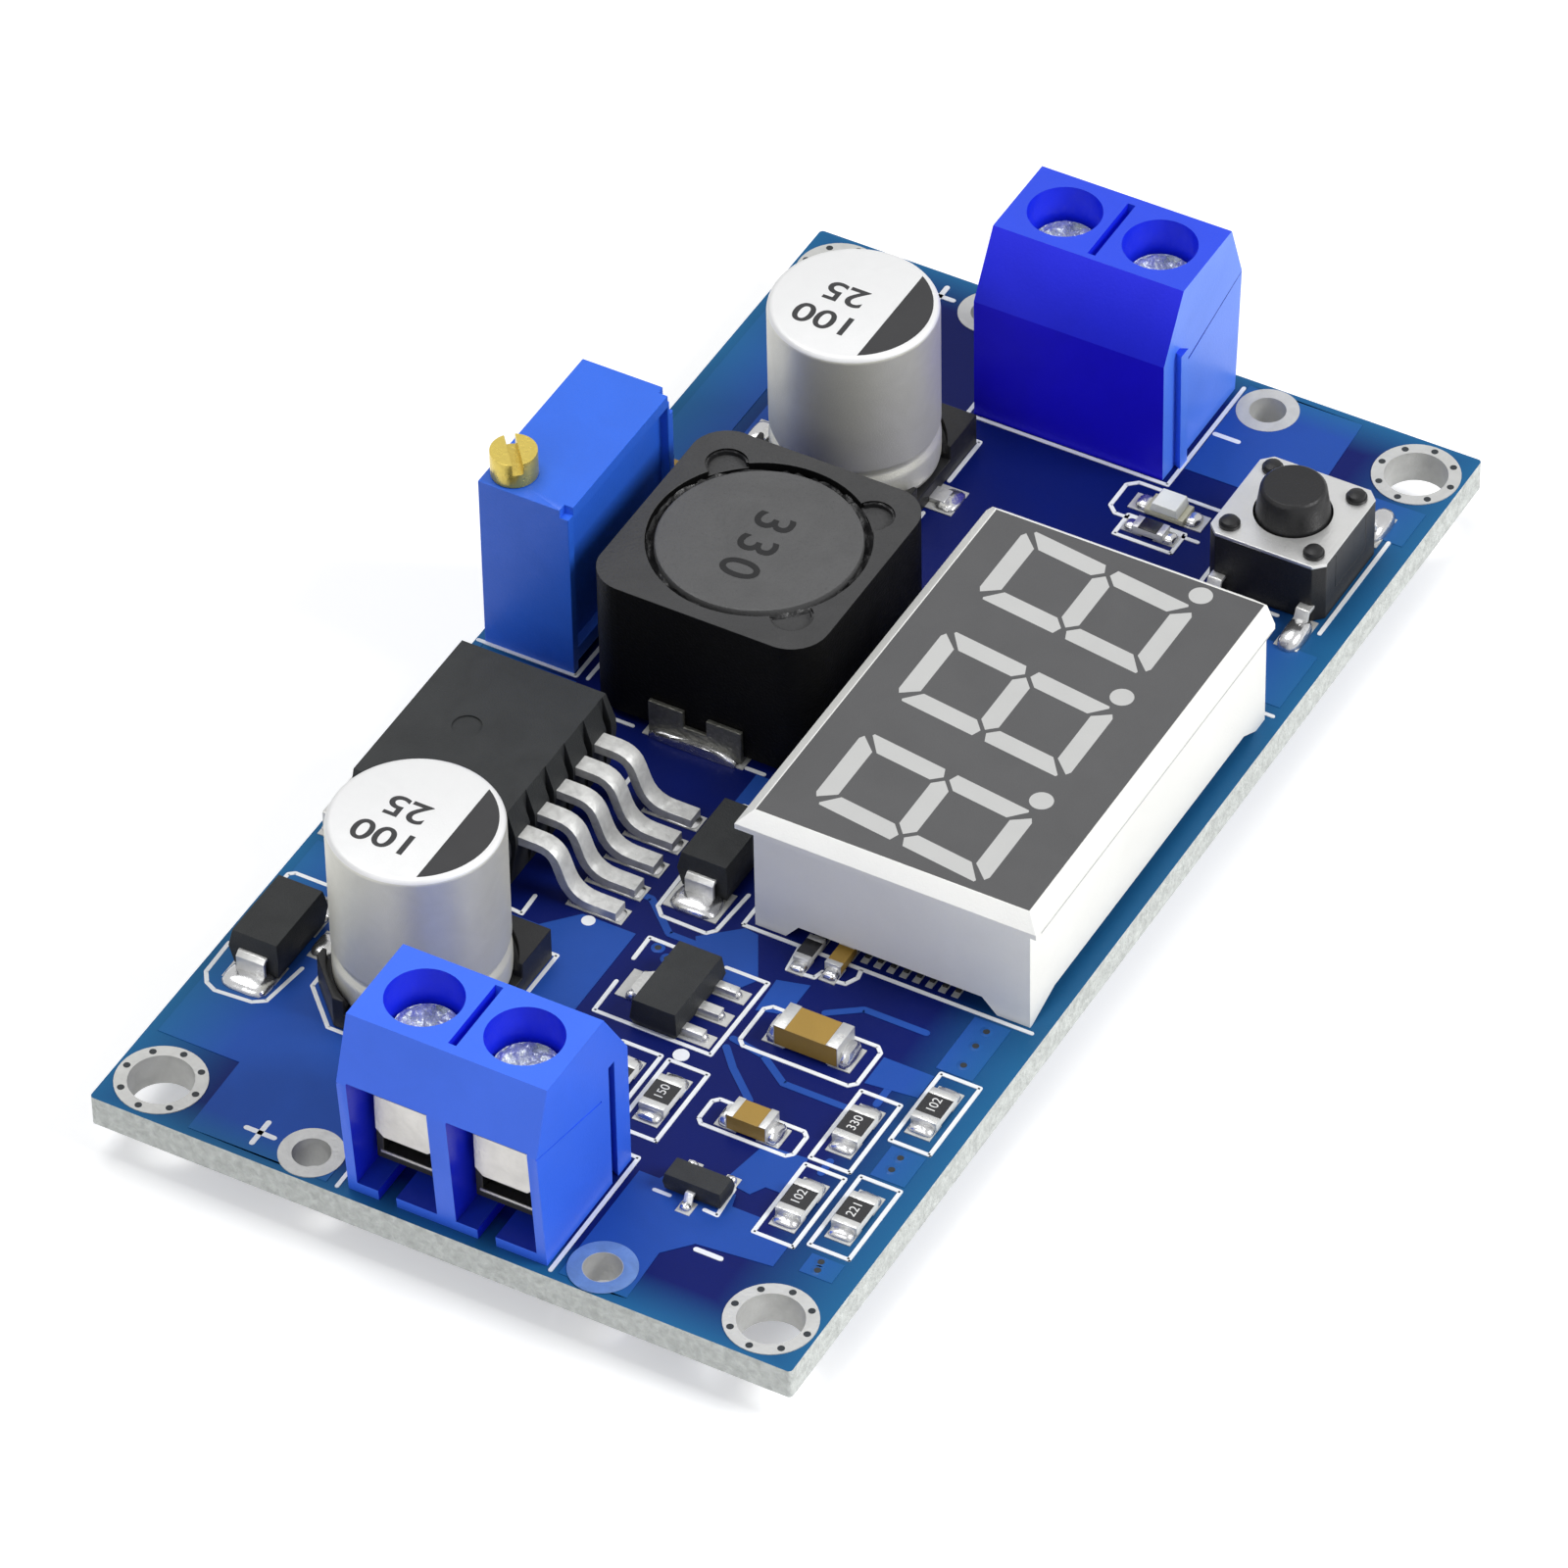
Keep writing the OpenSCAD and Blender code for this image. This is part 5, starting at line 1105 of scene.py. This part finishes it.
# ---- display
class CONVERTER_OT_display(bpy.types.Operator):
    """Three digit display"""

    bl_idname = "converter.display"
    bl_label = "Display"

    def execute(self, context):
        dress("display_shell", "display shell", "shell", 0.08, small=3.0)
        low, high = corners("display_shell")
        levels = sorted({round(v.co.z / MM, 2) for v in NODES["display_shell"].data.vertices
                         if v.co.y / MM < low.y + 0.8 and v.co.z / MM > high.z - 2})
        # a thin grey block along the lip's underside: a painted shadow line
        foot = Vector((low.x + 0.5, low.y - 0.012, levels[1] + 0.02))
        head = Vector((high.x - 1.3, low.y + 0.1, levels[1] + 0.09))
        bm = bmesh.new()
        block(bm, (foot + head) / 2, head - foot)
        piece("display_parting_line", bm, "parting line", "shell")
        dress("display_face", "display face", "face", 0.02, small=50)
        dress("display_segments", "light pieces", "segment", 0.02, small=50)
        dress("display_carrier", "carrier laminate", "substrate", 0.03)
        tin("display_pins", 0.04)
        return {"FINISHED"}


# ---- solder
class CONVERTER_OT_solder(bpy.types.Operator):
    """Solder joints on both faces"""

    bl_idname = "converter.solder"
    bl_label = "Solder"

    def through_leads(self):
        """Centre and half width of every lead that comes out under the board."""
        found = []
        for node in ("input_terminal_contacts", "output_terminal_contacts", "trimmer_pins", "display_pins"):
            under = [v.co / MM for v in NODES[node].data.vertices if v.co.z / MM < -1.7]
            for low, high in map(span, clusters(under, 1.4)):
                found.append((*((low + high) / 2).xy, (high.x - low.x) / 2))
        return found

    def both_ends(self, bm, node, axis, past, *mound, **options):
        """A mound past each end of a node, along X (axis 0) or Y (axis 1)."""
        low, high = corners(node)
        for end in (low[axis] - past, high[axis] + past):
            spot = (low + high) / 2
            spot[axis] = end
            pillow(bm, spot.x, spot.y, *mound, **options)

    def execute(self, context):
        bm = bmesh.new()
        for x, y, half in self.through_leads():
            rim = half + 0.5
            turned(bm, x, y, [(0, -0.02), (rim, -0.02), (rim, -0.06), (rim * 0.8, -0.16), (half * 1.45, -0.5),
                              (half * 1.15, -0.95), (half * 0.6, -1.2), (0, -1.25)], segments=28)
        piece("solder_under", bm, "solder", "tinned", turn=True)

        bm = bmesh.new()
        toes = corners("regulator_leads")[0].y
        for x in lead_places():
            pillow(bm, x, toes + 0.72, 0.5, 0.95, 0.14)
            pillow(bm, x, toes + 2.05, 0.42, 0.5, 0.5)
        for end in ("input", "output"):
            self.both_ends(bm, end + "_capacitor_leads", 1, 0.1, 0.8, 0.55, 0.24)
            self.both_ends(bm, end + "_diode_leads", 0, 0.15, 0.85, 1.2, 0.4)
        tab = corners("regulator_tab")[1].y
        pillow(bm, node_centre("regulator_tab").x, tab + 0.02, 5.0, 0.22, 0.5, square=0.35, cols=28)
        self.both_ends(bm, "inductor_clips", 0, 0.12, 0.28, 2.35, 0.5, square=0.4)
        bodies = [(low + high) / 2 for node in ("chip_resistor_bodies", "ceramic_capacitor_bodies")
                  for low, high, _ in islands(node)]
        for low, high, _ in islands("chip_end_caps"):
            spot = (low + high) / 2
            axis, side = outward(spot - min(bodies, key=lambda b: (b - spot).length))
            spot[axis] = (high if side > 0 else low)[axis] + side * 0.16
            reach = [(high - low)[1 - axis] / 2 * 0.98] * 2
            reach[axis] = 0.36
            pillow(bm, spot.x, spot.y, *reach, (high.z - LAND) * 0.62)
        size = 0.27  # half the width of a small lead's solder
        for part in ("logic_supply", "transistor"):
            middle = node_centre(part + "_body")
            for _, _, points in islands(part + "_leads"):
                for feet in clusters([p for p in points if p.z < LAND + 0.15], 0.9):
                    toe = sum(feet, Vector()) / len(feet)
                    axis, side = outward(toe - middle)
                    toe[axis] = max(p[axis] * side for p in feet) * side - side * size * 0.3
                    pillow(bm, toe.x, toe.y, size * 0.85, size, size * 1.15, square=0.75)
        middle = node_centre("switch_base")
        for sx, sy in QUARTERS:
            pillow(bm, middle.x + sx * 4.2, middle.y + sy * 2.3, 1.15, 0.6, 0.62, square=0.7)
        middle = node_centre("led_base")
        for side in (-1, 1):
            pillow(bm, middle.x, middle.y + side * 1.25, 0.5, 0.42, 0.34, square=0.7)
        for v in bm.verts:
            v.co.z += 0.05 * noise(v.co * 2.7) * min(1, max(0, (v.co.z - LAND) * 6))
        piece("solder_over", bm, "solder", "tinned")
        return {"FINISHED"}


# ---- stage
def lamp(name, place, size, watts):
    """A square light that points at the board."""
    data = bpy.data.lights.new(name, "AREA")
    data.shape = "SQUARE"
    data.size = size
    data.energy = watts
    thing = new_object(name, data)
    thing.location = place
    thing.rotation_euler = (-Vector(place)).to_track_quat("-Z", "Y").to_euler()


def seen(tree):
    """1 for what the camera sees, directly or in a gloss, and 0 for what only gives light."""
    path = add(tree, "LightPath").outputs
    either = maths(tree, "ADD", path["Is Camera Ray"], path["Is Glossy Ray"])
    return maths(tree, "ADD", either, path["Is Transmission Ray"], clamp=True)


class CONVERTER_OT_stage(bpy.types.Operator):
    """Floor, light and camera"""

    bl_idname = "converter.stage"
    bl_label = "Stage"

    def floor(self):
        """A wide pale floor that looks a little lighter than it lights."""
        bm = bmesh.new()
        bmesh.ops.create_grid(bm, x_segments=1, y_segments=1, size=3,
                              matrix=Matrix.Translation((0, 0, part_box("display_pins")[0][2])))
        mesh = bpy.data.meshes.new("floor")
        bm.to_mesh(mesh)
        bm.free()
        new_object("floor", mesh)
        pale = bpy.data.materials.new("pale floor")
        pale.use_nodes = True
        tree = pale.node_tree
        tree.nodes.clear()
        plain = add(tree, "BsdfDiffuse", {"Color": (0.78, 0.78, 0.78, 1)}).outputs[0]
        glow = add(tree, "Emission", {"Strength": maths(tree, "MULTIPLY", seen(tree), 0.42)}).outputs[0]
        both = add(tree, "AddShader", {0: plain, 1: glow}).outputs[0]
        add(tree, "OutputMaterial", {"Surface": both})
        mesh.materials.append(pale)

    def world(self, scene):
        """A white background that lights the board with a weaker, cool fill."""
        scene.world = bpy.data.worlds.new("soft studio")
        scene.world.use_nodes = True
        tree = scene.world.node_tree
        tree.nodes.clear()
        fill = add(tree, "Background", {"Color": (0.96, 0.98, 1.0, 1), "Strength": 0.32}).outputs[0]
        white = add(tree, "Background", {"Strength": 1.0}).outputs[0]
        choose = add(tree, "MixShader", {0: seen(tree), 1: fill, 2: white}).outputs[0]
        add(tree, "OutputWorld", {"Surface": choose})

    def execute(self, context):
        scene = context.scene
        scene.view_settings.view_transform = "Standard"
        self.floor()
        self.world(scene)
        lamp("key light", (0.15, -0.8, 0.65), 0.45, 7.4)
        lamp("left fill", (-0.8, 0.1, 0.6), 0.5, 1.8)
        lamp("top light", (0.1, 0.3, 1.0), 0.5, 4.0)
        eye = bpy.data.cameras.new("camera")
        eye.sensor_width = 36
        eye.lens = 245.15
        eye.clip_start = 0.01
        camera = new_object("camera", eye)
        right = Vector((0.48587113, -0.87390487, -0.01481666))
        down = Vector((-0.60542941, -0.32428166, -0.72684017))
        forward = Vector((0.63038439, 0.3621211, -0.6866468))
        turn = Matrix((right, -down, -forward)).transposed().to_4x4()
        camera.matrix_world = Matrix.Translation((-0.30364, -0.17323, 0.33088)) @ turn
        scene.camera = camera
        return {"FINISHED"}


PIECES = (
    CONVERTER_OT_board, CONVERTER_OT_terminals, CONVERTER_OT_trimmer, CONVERTER_OT_inductor,
    CONVERTER_OT_capacitors, CONVERTER_OT_regulator, CONVERTER_OT_packages, CONVERTER_OT_chips,
    CONVERTER_OT_switch, CONVERTER_OT_display, CONVERTER_OT_solder, CONVERTER_OT_stage,
)


class CONVERTER_PT_pieces(bpy.types.Panel):
    """Lists the converter's pieces"""

    bl_idname = "CONVERTER_PT_pieces"
    bl_label = "Converter"
    bl_space_type = "VIEW_3D"
    bl_region_type = "UI"
    bl_category = "Converter"

    def draw(self, context):
        for operator in PIECES:
            self.layout.operator(operator.bl_idname)
        for group in (context.scene.converter_colours, context.scene.converter_sizes):
            for name in group.bl_rna.properties.keys():
                if name not in ("rna_type", "name"):
                    self.layout.prop(group, name)


CLASSES = (ConverterColours, ConverterSizes, *PIECES, CONVERTER_PT_pieces)


def register():
    for cls in CLASSES:
        bpy.utils.register_class(cls)
    bpy.types.Scene.converter_colours = bpy.props.PointerProperty(type=ConverterColours)
    bpy.types.Scene.converter_sizes = bpy.props.PointerProperty(type=ConverterSizes)


def unregister():
    del bpy.types.Scene.converter_sizes
    del bpy.types.Scene.converter_colours
    for cls in reversed(CLASSES):
        bpy.utils.unregister_class(cls)


def main():
    register()
    for operator in PIECES:
        area, name = operator.bl_idname.split(".")
        if getattr(getattr(bpy.ops, area), name)() != {"FINISHED"}:
            raise RuntimeError(operator.bl_label + " wasn't finished")


if __name__ == "__main__":
    main()
